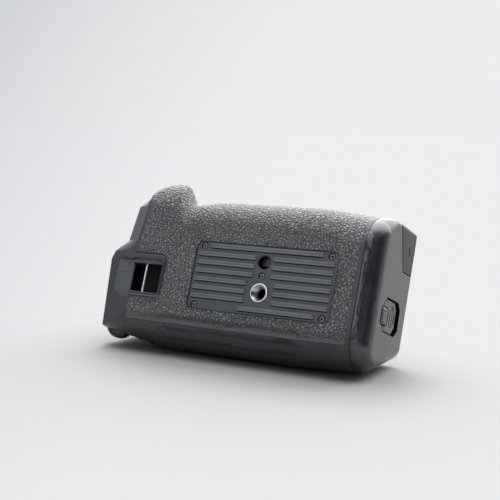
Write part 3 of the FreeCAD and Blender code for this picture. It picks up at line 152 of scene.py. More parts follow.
class Board:
    """The node tree of one material or world, built from Python sums."""

    def __init__(self, owner: bpy.types.Material | bpy.types.World) -> None:
        """Clear the owner's tree.

        Args:
            owner: The material or the world.
        """
        owner.use_nodes = True
        self.tree = owner.node_tree
        self.tree.nodes.clear()

    def node(self, kind: str, settings: dict[str, Any] | None = None, inputs: dict[Any, Any] | None = None,
             output: int | str = 0) -> Wire:
        """Add a node.

        Args:
            kind: Blender's type name of the node.
            settings: Properties that are set first; a choice may be given as an Enum.
            inputs: Values or wires by the name or number of the socket.
            output: Name or number of the output that is handed back.

        Returns:
            The output as a wire.
        """
        node = self.tree.nodes.new(kind)
        for name, value in (settings or {}).items():
            setattr(node, name, value.value if isinstance(value, Enum) else value)
        for key, value in (inputs or {}).items():
            socket = node.inputs[key]
            if isinstance(value, Wire):
                self.tree.links.new(value.socket, socket)
            elif socket.type == "RGBA" and len(value) == 3:
                socket.default_value = (*value, 1.0)
            else:
                socket.default_value = value
        return Wire(self, node.outputs[output]) if len(node.outputs) else Wire(self, None)

    def place(self) -> Wire:
        """Object coordinates, in metres."""
        return self.node("ShaderNodeTexCoord", output="Object")

    def parts(self) -> tuple[Wire, Wire, Wire]:
        """The three object coordinates in millimetres."""
        split = self.node("ShaderNodeSeparateXYZ", inputs={0: self.place()}).socket.node
        return tuple(Wire(self, split.outputs[i]) * 1000.0 for i in range(3))

    def vector(self, operation: Arrow, *values: Any) -> Wire:
        """One Vector Math node on these values."""
        output = "Value" if operation is Arrow.DOT else "Vector"
        return self.node("ShaderNodeVectorMath", {"operation": operation}, dict(enumerate(values)), output)

    def noise(self, scale: float, detail: float, roughness: float = 0.5, output: str = "Fac") -> Wire:
        """Noise texture.

        Args:
            scale: Features for each metre.
            detail: Number of octaves.
            roughness: Weight of the fine octaves.
            output: Fac for the grey value or Color for three values.

        Returns:
            The value or the values.
        """
        inputs = {"Vector": self.place(), "Scale": scale, "Detail": detail, "Roughness": roughness}
        return self.node("ShaderNodeTexNoise", {}, inputs, output)

    def cells(self, scale: float, feature: Cells, place: Wire | None = None) -> Wire:
        """Voronoi texture.

        Args:
            scale: Cells for each metre.
            feature: What is measured.
            place: Coordinates, or none for the object's own.

        Returns:
            The distance.
        """
        inputs = {"Vector": place or self.place(), "Scale": scale}
        if feature is Cells.DOMES:
            inputs["Smoothness"] = DOME_SMOOTHNESS
        return self.node("ShaderNodeTexVoronoi", {"feature": feature}, inputs, "Distance")

    def blend(self, factor: Wire | float, first: Wire | Colour, second: Wire | Colour) -> Wire:
        """Mix of two colours, where the factor is the share of the second."""
        return self.node("ShaderNodeMix", {"data_type": "RGBA"}, {0: factor, 6: first, 7: second}, 2)

    def bump(self, height: Wire, distance: float, strength: float = 1.0, normal: Wire | None = None) -> Wire:
        """Normal from a height.

        Args:
            height: Grey height.
            distance: Height of 1, in metres.
            strength: Share of the effect.
            normal: Normal to start from.

        Returns:
            The normal.
        """
        inputs: dict[Any, Any] = {"Height": height, "Distance": distance, "Strength": strength}
        if normal is not None:
            inputs["Normal"] = normal
        return self.node("ShaderNodeBump", {}, inputs)

    def surface(self, **sockets: Any) -> None:
        """Principled shader to the output, its sockets by their names with _ for a space."""
        named = {key.replace("_", " ").title().replace("Ior", "IOR"): value for key, value in sockets.items()}
        shader = self.node("ShaderNodeBsdfPrincipled", {}, named)
        self.node("ShaderNodeOutputMaterial", {}, {"Surface": shader})


@dataclass(frozen=True)
class Finish:
    """A finish with a colour and a roughness, that varies a little over the surface."""

    name: str
    colour: Colour
    roughness: float

    def material(self) -> bpy.types.Material:
        """The material, made once."""
        name = f"look_{self.name}"
        made = bpy.data.materials.get(name)
        if made is None:
            made = bpy.data.materials.new(name)
            self.paint(Board(made))
        return made

    def tone(self, share: float) -> Colour:
        """The colour, lighter or darker by a share of itself."""
        return tuple(channel * share for channel in self.colour)

    def shade(self, board: Board, share: float, scale: float = 60.0) -> Wire:
        """The colour with a slow change of lightness.

        Args:
            board: Board to draw on.
            share: Size of the change.
            scale: Features for each metre.

        Returns:
            The colour.
        """
        change = board.noise(scale, 3.0).above(0.3, 0.7)
        return board.blend(change, self.tone(1 - share), self.tone(1 + share))

    def paint(self, board: Board) -> None:
        """Draw the finish."""
        raise NotImplementedError


@dataclass(frozen=True)
class MouldedPlastic(Finish):
    """Fine grained moulded plastic with softened edges.

    Sizes are in mm: grain is the height of the grain, edge the width of the softened edges, parting the Z of
    the dark line where two mouldings meet, deep the depths between which painted shade turns the plastic
    dark, and rows the top, the pitch, the start and the end of a painted highlight line that comes back in
    rows.
    """

    grain: float = 0.012
    edge: float = 0.35
    grain_scale: float = 3200.0
    shine: float = 0.5
    parting: float | None = None
    deep: tuple[float, float] | None = None
    rows: tuple[float, float, float, float] | None = None

    PARTING_TONE = 0.15
    PARTING_EDGE = (0.05, 0.22)
    HIGHLIGHT_TONE = 2.6
    HIGHLIGHT_EDGE = 0.12
    DEPTH_SHADE_COLOUR = (0.004, 0.004, 0.004)

    def paint(self, board: Board) -> None:
        """Draw the grain over rounded edges.

        Args:
            board: Board to draw on.
        """
        soft = board.node("ShaderNodeBevel", {"samples": 4}, {"Radius": self.edge * MM})
        grain = board.noise(self.grain_scale, 2.0, 0.6)
        rough = board.noise(220.0, 3.0) * 0.10 + (self.roughness - 0.05)
        board.surface(base_color=self.marked(board), roughness=rough, specular_ior_level=self.shine,
                      normal=board.bump(grain, self.grain * MM, 1.0, soft))

    def marked(self, board: Board) -> Wire:
        """The colour with the parting line, the painted highlight rows and the painted shade at depth, where
        the plastic has them.

        Args:
            board: Board to draw on.

        Returns:
            The colour.
        """
        colour = self.shade(board, 0.10)
        if self.parting is not None:
            line = (board.parts()[2] - self.parting).size().above(*self.PARTING_EDGE)
            colour = board.blend(line, self.tone(self.PARTING_TONE), colour)
        # Painted highlight: a lighter line near the lower edge of each rib, where light catches it.
        if self.rows is not None:
            top, pitch, start, stop = self.rows
            down = ((top - board.parts()[2]) / pitch).fraction() * pitch
            line = down.above(start, start + self.HIGHLIGHT_EDGE) * (1 - down.above(stop, stop + self.HIGHLIGHT_EDGE))
            colour = board.blend(line, colour, self.tone(self.HIGHLIGHT_TONE))
        # Painted shade: the plastic turns near-black between the deep depths, down in a recess.
        if self.deep is not None:
            colour = board.blend(board.parts()[1].above(*self.deep), colour, self.DEPTH_SHADE_COLOUR)
        return colour


@dataclass(frozen=True)
class Leatherette(Finish):
    """Pebbled synthetic leather, smooth towards its lower edge.

    Sizes are in mm: pebble is the size of a pebble, height the depth of the creases, drift how far the
    pebbles wander from even cells, and fade the Z between which the pebbles come up. shares are those of
    domes, creases and wrinkles in the height, and the tones are shares of the colour; the crease tone is
    painted shade in the creases.
    """

    pebble: float = 1.5
    height: float = 0.9
    drift: float = 0.9
    shine: float = 1.0
    fade: tuple[float, float] = (-18.6, -14.6)
    shares: tuple[float, float, float] = (0.45, 0.75, 0.22)
    crease_shade_tone: float = 0.12
    smooth_tone: float = 0.55

    def paint(self, board: Board) -> None:
        """Draw the pebbles, the creases between them and the fade.

        Args:
            board: Board to draw on.
        """
        way = board.vector(Arrow.SUBTRACT, board.noise(900.0, 1.0, output="Color"), (0.5, 0.5, 0.5))
        place = board.vector(Arrow.SCALE_AND_ADD, way, (self.drift * MM,) * 3, board.place())
        scale = 1.0 / (self.pebble * MM)
        domes = 1 - board.cells(scale, Cells.DOMES, place)
        edges = board.cells(scale, Cells.EDGES, place).above(0.0, 0.24)
        wrinkle = board.noise(1500.0, 2.0, 0.6)
        worn = board.parts()[2].above(*self.fade)
        domed, creased, wrinkled = self.shares
        height = (domes * domed + edges * creased + wrinkle * wrinkled) * worn
        normal = board.bump(board.noise(4200.0, 1.0), 0.006 * MM, 0.6, board.bump(height, self.height * MM))
        top = edges * worn
        rough = self.roughness - top * 0.06 + board.noise(300.0, 2.0) * 0.08
        # Painted shade: the creases between the pebbles are darker than the pebbles' tops.
        pebbled = board.blend(top * 0.9 + 0.1, self.tone(self.crease_shade_tone), self.shade(board, 0.12))
        colour = board.blend(worn, self.tone(self.smooth_tone), pebbled)
        board.surface(base_color=colour, roughness=rough, specular_ior_level=self.shine, normal=normal)


@dataclass(frozen=True)
class TurnedMetal(Finish):
    """Bare metal with fine turning marks."""

    def paint(self, board: Board) -> None:
        """Draw the turning marks and light wear.

        Args:
            board: Board to draw on.
        """
        marks = board.noise(2600.0, 3.0, 0.7)
        rough = marks * 0.12 + self.roughness
        board.surface(base_color=self.shade(board, 0.12, 400.0), metallic=1.0, roughness=rough,
                      normal=board.bump(marks, 0.01 * MM))


@dataclass(frozen=True)
class Rubber(Finish):
    """Smooth dull rubber with a fine dusty tone."""

    def paint(self, board: Board) -> None:
        """Draw the dust and the soft surface.

        Args:
            board: Board to draw on.
        """
        soft = board.node("ShaderNodeBevel", {"samples": 4}, {"Radius": 0.3 * MM})
        dust = board.noise(500.0, 4.0).above(0.4, 0.8)
        dusty = tuple(channel + 0.004 for channel in self.tone(1.6))
        colour = board.blend(dust * 0.3, self.colour, dusty)
        board.surface(base_color=colour, roughness=dust * 0.08 + self.roughness,
                      normal=board.bump(board.noise(2400.0, 2.0), 0.01 * MM, 1.0, soft))


@dataclass(frozen=True)
class Lacquer(Finish):
    """Coated circuit board."""

    def paint(self, board: Board) -> None:
        """Draw faint copper tracks under the coat.

        Args:
            board: Board to draw on.
        """
        tracks = board.cells(420.0, Cells.EDGES).above(0.04, 0.07)
        colour = board.blend(tracks, self.tone(1.7), self.colour)
        board.surface(base_color=colour, roughness=self.roughness + tracks * 0.1,
                      normal=board.bump(tracks, 0.01 * MM))


CASING = MouldedPlastic("casing", (0.044, 0.047, 0.053), 0.40, shine=0.6, parting=4.2)
CAP = MouldedPlastic("cap", (0.022, 0.024, 0.028), 0.26, 0.003, shine=1.0)
PLATE = MouldedPlastic("plate", (0.046, 0.049, 0.052), 0.42, 0.008, 0.25, 4000.0, 0.75)
# The rows are a painted highlight along the lower edge of each rib.
RIB = MouldedPlastic("rib", (0.095, 0.100, 0.104), 0.34, 0.008, 0.12, 4000.0, 0.9,
                     rows=(21.45, 4.1, 1.3, 1.85))
# deep paints shade: the trim turns near-black from 4.4 to 6.5 mm in from the bottom face, in the channel and
# the slot.
FRAME_TRIM = MouldedPlastic("frame_trim", (0.066, 0.071, 0.080), 0.38, 0.008, 0.2, shine=0.8, parting=4.2,
                            deep=(4.4, 6.5))
LEATHER = Leatherette("leather", (0.192, 0.196, 0.204), 0.42)
STEEL = TurnedMetal("steel", (0.62, 0.61, 0.60), 0.22)
DARK_SCREW = TurnedMetal("dark_screw", (0.20, 0.20, 0.21), 0.35)
ALLOY = TurnedMetal("alloy", (0.50, 0.50, 0.52), 0.42)
GOLD = TurnedMetal("gold", (0.80, 0.58, 0.28), 0.25)
KNOB = MouldedPlastic("knob", (0.018, 0.018, 0.020), 0.27, 0.003, 0.2)
# Painted highlight: a light finish for ridges that catch the light.
RIDGE_HIGHLIGHT = MouldedPlastic("ridge_highlight", (0.20, 0.20, 0.21), 0.35, 0.004, 0.1, shine=0.8)
LATCH = MouldedPlastic("latch", (0.062, 0.064, 0.069), 0.35, 0.004, 0.15, shine=0.8)
RUBBER = Rubber("rubber", (0.040, 0.040, 0.043), 0.6)
PIT_SHADE = MouldedPlastic("pit_shade", (0.012, 0.012, 0.013), 0.6, 0.004, shine=0.2)
# Near-black finish for painted shade and shadow: in gaps, recesses, bores and along the ribs.
SHADE_BLACK = MouldedPlastic("gap", (0.004, 0.004, 0.005), 0.9, 0.002, shine=0.05)
BOARD = Lacquer("board", (0.03, 0.16, 0.08), 0.35)
PACK = MouldedPlastic("pack", (0.13, 0.13, 0.14), 0.45)

BY_SLOT = {
    "casing_black": CASING, "leatherette": LEATHER, "plate_black": PLATE, "bright_steel": STEEL,
    "dark_screw": DARK_SCREW, "frame_alloy": ALLOY, "knob_black": KNOB, "seal_rubber": RUBBER,
    "board_green": BOARD, "contact_gold": GOLD, "battery_grey": PACK,
}


def rounded(points: Sequence[np.ndarray], radii: Sequence[float], steps: int) -> np.ndarray:
    """A closed outline with rounded corners.

    Args:
        points: Corners in order.
        radii: Radius of each corner.
        steps: Pieces of each corner's arc.

    Returns:
        Points as rows.
    """
    outline = []
    for i, here in enumerate(points):
        before = points[i - 1] - here
        after = points[(i + 1) % len(points)] - here
        before = before / np.linalg.norm(before)
        after = after / np.linalg.norm(after)
        half = math.acos(float(np.clip(before @ after, -1, 1))) / 2
        reach = radii[i] / math.tan(half)
        middle = (before + after) / np.linalg.norm(before + after)
        centre = here + middle * (radii[i] / math.sin(half))
        first, last = here + before * reach - centre, here + after * reach - centre
        turn = math.atan2(first[0] * last[1] - first[1] * last[0], float(first @ last))
        for step in range(steps + 1):
            angle = turn * step / steps
            cosine, sine = math.cos(angle), math.sin(angle)
            arm = (first[0] * cosine - first[1] * sine, first[0] * sine + first[1] * cosine)
            outline.append(centre + arm)
    return np.array(outline)


def rectangle(left: float, right: float, low: float, high: float, radius: float,
              steps: int = 6) -> np.ndarray:
    """A rounded rectangle as rows of points."""
    corners = [np.array(place) for place in ((right, high), (left, high), (left, low), (right, low))]
    return rounded(corners, [radius] * 4, steps)


def inner(box: Box, inset: float) -> Box:
    """A box of left, right, low and high with its sides moved inwards."""
    return box[0] + inset, box[1] - inset, box[2] + inset, box[3] - inset


def sunk(loop: np.ndarray, y: float) -> np.ndarray:
    """A loop of X and Z set at one Y."""
    return np.column_stack((loop[:, 0], np.full(len(loop), y), loop[:, 1]))


def stood(loop: np.ndarray, x: float) -> np.ndarray:
    """A loop of Y and Z set at one X."""
    return np.column_stack((np.full(len(loop), x), loop[:, 0], loop[:, 1]))


@dataclass(frozen=True)
class Corner:
    """A corner of the casing's outline, in mm.

    in_x and in_z are its shift at the bottom face; far_x, far_z and far_radius hold where the hump has faded.
    """

    x: float
    z: float
    radius: float
    in_x: float
    in_z: float
    far_x: float = 0.0
    far_z: float = 0.0
    far_radius: float | None = None


@dataclass
class Outline:
    """The rounded outline of the casing at any height above the bottom face, in mm."""

    right: float = 57.0
    deck: float = 43.0
    rear_round: float = 16.0
    end_round: float = 8.0
    slant: float = 20.0
    slant_start: float = 14.0
    hump_start: float = 12.0
    hump_end: float = 28.0
    deck_edge: float = 2.4
    arc_points: int = 14
    corners: list[Corner] = field(default_factory=lambda: [
        Corner(57.0, 40.8, 6.5, -8.0, -15.0, 0.0, 1.9, 2.2),
        Corner(22.0, 45.4, 60.0, 0.0, -15.0),
        Corner(-34.2, 45.4, 30.0, 0.0, -15.0),
        Corner(-49.2, 42.1, 3.0, 0.0, -12.75, -8.2, 2.64),
        Corner(-55.8, 53.5, 6.0, -2.0, -15.45, -8.2, -7.3),
        Corner(-64.0, 53.5, 12.0, -2.0, -15.0, -4.1, -7.3),
        Corner(-106.0, 36.7, 6.5, 8.0, -7.5),
        Corner(-106.0, -22.0, 6.5, 8.0, 8.0),
        Corner(-50.0, -30.4, 60.0, 0.0, 16.0),
        Corner(22.0, -30.4, 60.0, 0.0, 16.0),
        Corner(57.0, -28.4, 6.5, -8.0, 15.0),
    ])

    def levels(self) -> list[float]:
        """Heights at which the CAD model's outline is exact."""
        low = [self.rear_round * share for share in (0, 0.06, 0.2, 0.4, 0.68, 1)]
        return low + [self.hump_end, self.deck - self.deck_edge, self.deck]

    @staticmethod
    def left_over(height: float, radius: float) -> float:
        """Share of a rounding that is left at a height above its foot."""
        return 0.0 if height >= radius else 1 - math.sqrt(1 - (1 - height / radius) ** 2)

    def ring(self, height: float, ball: bool = False) -> np.ndarray:
        """The outline at one height.

        Args:
            height: Distance from the bottom face.
            ball: Round the corners of the battery end like a ball.

        Returns:
            Points in the plane of X and Z, as rows.
        """
        points, radii = [], []
        for corner in self.corners:
            end = corner.x == self.right
            start, stop = (self.end_round, self.rear_round) if end else (self.hump_start, self.hump_end)
            done = min(1.0, max(0.0, (height - start) / (stop - start)))
            left_x = self.left_over(height, max(abs(corner.in_x), 1.0))
            left_z = self.left_over(height, max(abs(corner.in_z), 1.0))
            x = corner.x + corner.in_x * left_x + corner.far_x * done
            z = corner.z + corner.in_z * left_z + corner.far_z * done
            if end:
                x -= min(self.deck_edge, max(0.0, height - self.deck + self.deck_edge))
            if corner.z < 0:
                z += math.tan(math.radians(self.slant)) * max(0.0, height - self.slant_start)
            points.append(np.array((x, z)))
            far = corner.radius if corner.far_radius is None else corner.far_radius
            radius = corner.radius + (far - corner.radius) * done
            if end and ball:
                radius = max(0.6, radius * (1 - self.left_over(height, self.end_round)))
            radii.append(radius)
        return rounded(points, radii, self.arc_points)

    def faceted(self, height: float) -> np.ndarray:
        """The CAD model's outline at one height, straight between its levels.

        Args:
            height: Distance from the bottom face.

        Returns:
            Points in the plane of X and Z, as rows.
        """
        levels = self.levels()
        above = min(len(levels) - 1, max(1, int(np.searchsorted(levels, height))))
        low, high = levels[above - 1], levels[above]
        share = (height - low) / (high - low)
        return self.ring(low) * (1 - share) + self.ring(high) * share


def nearest(points: np.ndarray, loop: np.ndarray) -> tuple[np.ndarray, np.ndarray]:
    """Nearest places on a closed loop.

    Args:
        points: Points as rows.
        loop: Corners of the loop as rows.

    Returns:
        The nearest places, and their distances.
    """
    run = np.roll(loop, -1, axis=0) - loop
    length = np.maximum((run ** 2).sum(1), 1e-12)
    offset = points[:, None, :] - loop[None]
    share = np.clip((offset * run[None]).sum(2) / length, 0, 1)
    places = loop[None] + share[..., None] * run[None]
    gaps = np.linalg.norm(points[:, None, :] - places, axis=2)
    best = gaps.argmin(1)
    rows = np.arange(len(points))
    return places[rows, best], gaps[rows, best]


def merged_copy(node: bpy.types.Object) -> bmesh.types.BMesh:
    """A node's mesh with its loose triangles joined.

    Args:
        node: The CAD node.

    Returns:
        The mesh, in metres.
    """
    mesh = bmesh.new()
    mesh.from_mesh(node.data)
    bmesh.ops.remove_doubles(mesh, verts=mesh.verts, dist=2e-6)
    return mesh


def divided(mesh: bmesh.types.BMesh, planes: Sequence[tuple[Sequence[float], Sequence[float]]],
            near: float) -> None:
    """Divide a mesh's faces along planes and take nothing away.

    Args:
        mesh: The mesh, in metres.
        planes: A point and a normal of each plane.
        near: Distance at which a vertex counts as on the plane.
    """
    for point, normal in planes:
        geometry = mesh.verts[:] + mesh.edges[:] + mesh.faces[:]
        bmesh.ops.bisect_plane(mesh, geom=geometry, plane_co=point, plane_no=normal, dist=near)


def settled(mesh: bmesh.types.BMesh, name: str) -> bpy.types.Mesh:
    """A bmesh as named mesh data.

    Args:
        mesh: The mesh, which is freed.
        name: Name of the data.

    Returns:
        The data.
    """
    data = bpy.data.meshes.new(name)
    mesh.to_mesh(data)
    mesh.free()
    return data


def shown(name: str, data: Any) -> bpy.types.Object:
    """A new object in the scene.

    Args:
        name: Name of the object.
        data: Its mesh, camera or lamp.

    Returns:
        The object, at the origin.
    """
    thing = bpy.data.objects.new(name, data)
    bpy.context.scene.collection.objects.link(thing)
    return thing


def softened(data: bpy.types.Mesh, crease: float) -> None:
    """Shade a mesh smooth, with sharp edges where it turns by more degrees than the crease."""
    data.shade_smooth()
    data.set_sharp_from_angle(angle=math.radians(crease))


def finished(mesh: bmesh.types.BMesh, name: str, finish: Finish, crease: float = 32.0) -> bpy.types.Object:
    """Turn a bmesh into a named object.

    Args:
        mesh: The mesh, in metres.
        name: Name of the piece.
        finish: Its finish.
        crease: Edges that turn by more degrees than this stay sharp.

    Returns:
        The object, at the origin.
    """
    data = settled(mesh, name)
    data.materials.append(finish.material())
    softened(data, crease)
    return shown(name, data)


def installed(piece: bpy.types.Object, body: str, slot: str, *nodes: str) -> None:
    """Attach a piece to the body that it rides on, and hide the nodes that it stands for.

    Args:
        piece: The finished piece.
        body: Name of the body that it moves with.
        slot: Not used.
        *nodes: Names of the CAD nodes that it replaces.
    """
    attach(piece, body)
    if nodes:
        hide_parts(*nodes)
    LOG.info("%s: %d faces on %s", piece.name, len(piece.data.polygons), body)


@dataclass
class Casing:
    """The moulded casing: its shells, grip cover and end cap, with true roundings."""

    nodes: dict[str, bpy.types.Object]
    outline: Outline = field(default_factory=Outline)
    spacing: float = 1.5
    reach: float = 0.16
    round_steps: int = 14
    side_from: float = 18.0
    side_spacing: float = 2.5
    quick_spacing: tuple[float, float] = (4.5, 6.0)
    span_x: tuple[float, float] = (-92.0, 57.0)
    span_z: tuple[float, float] = (-30.0, 54.0)
    straight_from: float = 30.0
    straight_to: float = 49.05

    def cuts(self) -> list[tuple[Vector, Vector]]:
        """Planes that divide a skin, as points and normals in metres."""
        outline = self.outline
        spacing, side_spacing = ((self.spacing, self.side_spacing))
        heights = [outline.rear_round * (1 - math.cos(math.pi / 2 * k / self.round_steps))
                   for k in range(1, self.round_steps + 1)]
        heights += list(np.arange(self.side_from, outline.deck, side_spacing))
        planes = [(Vector((0, y, 0)), Vector((0, 1, 0))) for y in heights]
        planes += [(Vector((x, 0, 0)), Vector((1, 0, 0))) for x in np.arange(*self.span_x, spacing)]
        planes += [(Vector((0, 0, z)), Vector((0, 0, 1))) for z in np.arange(*self.span_z, spacing)]
        return [(point * MM, normal) for point, normal in planes]

    def smooth(self, name: str) -> bmesh.types.BMesh:
        """A node's mesh, divided and moved onto the true roundings.

        Args:
            name: Node name.

        Returns:
            The mesh.
        """
        mesh = merged_copy(self.nodes[name])
        divided(mesh, self.cuts(), 1e-6)
        mesh.verts.ensure_lookup_table()
        places = np.array([vert.co for vert in mesh.verts]) / MM
        steps = np.round(places[:, 1] * HEIGHTS_PER_MM).astype(int)
        for step in np.unique(steps):
            if not 0 < step < self.outline.deck * HEIGHTS_PER_MM:
                continue
            rows = np.flatnonzero(steps == step)
            flat = places[rows][:, (0, 2)]
            height = step / HEIGHTS_PER_MM
            _, gap = nearest(flat, self.outline.faceted(height))
            loop = self.outline.ring(height, True)
            target, _ = nearest(flat, loop)
            for row, place in zip(rows[gap < self.reach], target[gap < self.reach]):
                x, z = place
                if self.straight_from < places[row, 0] < self.straight_to:
                    x = places[row, 0]
                    z = self.crossing(loop, x, places[row, 2])
                mesh.verts[row].co = Vector((x, places[row, 1], z)) * MM
        return mesh

    @staticmethod
    def crossing(loop: np.ndarray, x: float, near: float) -> float:
        """Where the loop crosses a line across X.

        Args:
            loop: Corners of the loop as rows.
            x: Place of the line.
            near: Height near which the crossing is wanted.

        Returns:
            The crossing nearest to that height.
        """
        after = np.roll(loop, -1, axis=0)
        hits = np.flatnonzero((loop[:, 0] - x) * (after[:, 0] - x) <= 0)
        run = after[hits] - loop[hits]
        share = (x - loop[hits, 0]) / np.where(run[:, 0] == 0, 1.0, run[:, 0])
        heights = loop[hits, 1] + share * run[:, 1]
        return float(heights[np.abs(heights - near).argmin()]) if len(hits) else near

    def build(self) -> None:
        """Make and dress every piece of the casing."""
        for name, body, slot, finish in (("front_shell", "housing", "casing_black", CASING),
                                         ("rear_shell", "housing", "casing_black", CASING),
                                         ("grip_cover", "housing", "leatherette", LEATHER),
                                         ("port_cover", "port_flap", "seal_rubber", RUBBER),
                                         ("end_cap", "tray", "casing_black", CAP)):
            piece = finished(self.smooth(name), f"{name}_skin", finish)
            installed(piece, body, slot, name)


def stacked(rings: Sequence[np.ndarray], start: bool = True, end: bool = True) -> bmesh.types.BMesh:
    """A skin through rings with the same number of points.

    Args:
        rings: Points of each ring as rows of X, Y and Z, in mm.
        start: Close the first ring.
        end: Close the last ring.

    Returns:
        The mesh, in metres.
    """
    mesh = bmesh.new()
    rows = [[mesh.verts.new(Vector(point) * MM) for point in ring] for ring in rings]
    count = len(rows[0])
    for low, high in zip(rows, rows[1:]):
        for i in range(count):
            j = (i + 1) % count
            mesh.faces.new((low[i], low[j], high[j], high[i]))
    if start:
        mesh.faces.new(rows[0])
    if end:
        mesh.faces.new(rows[-1])
    bmesh.ops.recalc_face_normals(mesh, faces=mesh.faces)
    return mesh


def turned(profile: Sequence[tuple[float, float]], steps: int, closed: bool = True) -> bmesh.types.BMesh:
    """A turned shape about the Y axis.

    Args:
        profile: Radius and Y of each ring, in mm; a radius of 0 closes the shape.
        steps: Pieces around.
        closed: Close the first and the last ring.

    Returns:
        The mesh, in metres.
    """
    around = [math.tau * i / steps for i in range(steps)]
    rings = [np.array([(max(radius, 1e-4) * math.cos(a), y, max(radius, 1e-4) * math.sin(a)) for a in around])
             for radius, y in profile]
    return stacked(rings, closed, closed)


def tapered(long: float, wide: float, roundness: float, levels: Sequence[tuple[float, float]], steps: int = 3,
            upright: bool = False) -> bmesh.types.BMesh:
    """A ridge along Y that gets narrower towards +X.

    Args:
        long: Half its length, in mm.
        wide: Half its width, in mm.
        roundness: Radius of its corners as a share of half its width.
        levels: Share of the width, and X, of each level.
        steps: Pieces of each corner's arc.
        upright: The ridge lies along Z instead.

    Returns:
        The mesh, in metres.
    """
    rings = []
    for share, x in levels:
        slim = wide * share
        box = (-slim, slim, -long, long) if upright else (-long, long, -slim, slim)
        rings.append(stood(rectangle(*box, slim * roundness, steps), x))
    return stacked(rings)


def moved(mesh: bmesh.types.BMesh, place: Sequence[float],
          towards: Sequence[float] = (0, 1, 0)) -> bmesh.types.BMesh:
    """Turn a mesh's Y axis to a direction and put its origin at a place.

    Args:
        mesh: The mesh, which is changed.
        place: Where its origin goes, in mm.
        towards: Where its Y axis points.

    Returns:
        The same mesh.
    """
    turn = Vector((0, 1, 0)).rotation_difference(Vector(towards)).to_matrix().to_4x4()
    mesh.transform(Matrix.Translation(Vector(place) * MM) @ turn)
    return mesh


def taken_in(data: bpy.types.Mesh, whole: bmesh.types.BMesh) -> bmesh.types.BMesh:
    """Add mesh data to a bmesh and remove the data.

    Args:
        data: The data.
        whole: The bmesh that it is added to.

    Returns:
        The bmesh.
    """
    whole.from_mesh(data)
    bpy.data.meshes.remove(data)
    return whole


def together(*meshes: bmesh.types.BMesh) -> bmesh.types.BMesh:
    """Several meshes as one.

    Args:
        *meshes: The meshes, which are freed.

    Returns:
        The joined mesh.
    """
    whole = bmesh.new()
    for mesh in meshes:
        taken_in(settled(mesh, "part"), whole)
    return whole


def cut_away(mesh: bmesh.types.BMesh, *cutters: bmesh.types.BMesh) -> bmesh.types.BMesh:
    """A mesh less some cutters.

    Args:
        mesh: The mesh, which is freed.
        *cutters: The shapes that are taken away, which are freed.

    Returns:
        What is left.
    """
    body, *tools = [shown("helper", settled(shape, "helper")) for shape in (mesh, *cutters)]
    for tool in tools:
        modifier = body.modifiers.new("cut", "BOOLEAN")
        modifier.operation = "DIFFERENCE"
        modifier.solver = "EXACT"
        modifier.object = tool
    result = evaluated(body)
    for thing in (body, *tools):
        bpy.data.objects.remove(thing)
    return taken_in(result, bmesh.new())


def evaluated(thing: bpy.types.Object) -> bpy.types.Mesh:
    """The plain mesh that an object's modifiers give."""
    graph = bpy.context.evaluated_depsgraph_get()
    return bpy.data.meshes.new_from_object(thing.evaluated_get(graph))


@dataclass(frozen=True)
class Spot:
    """A place for a repeated shape: where it is in mm, its turn, and how far its sides reach along X."""

    place: Point
    turn: Point = (0.0, 0.0, 0.0)
    reach: float = 0.0


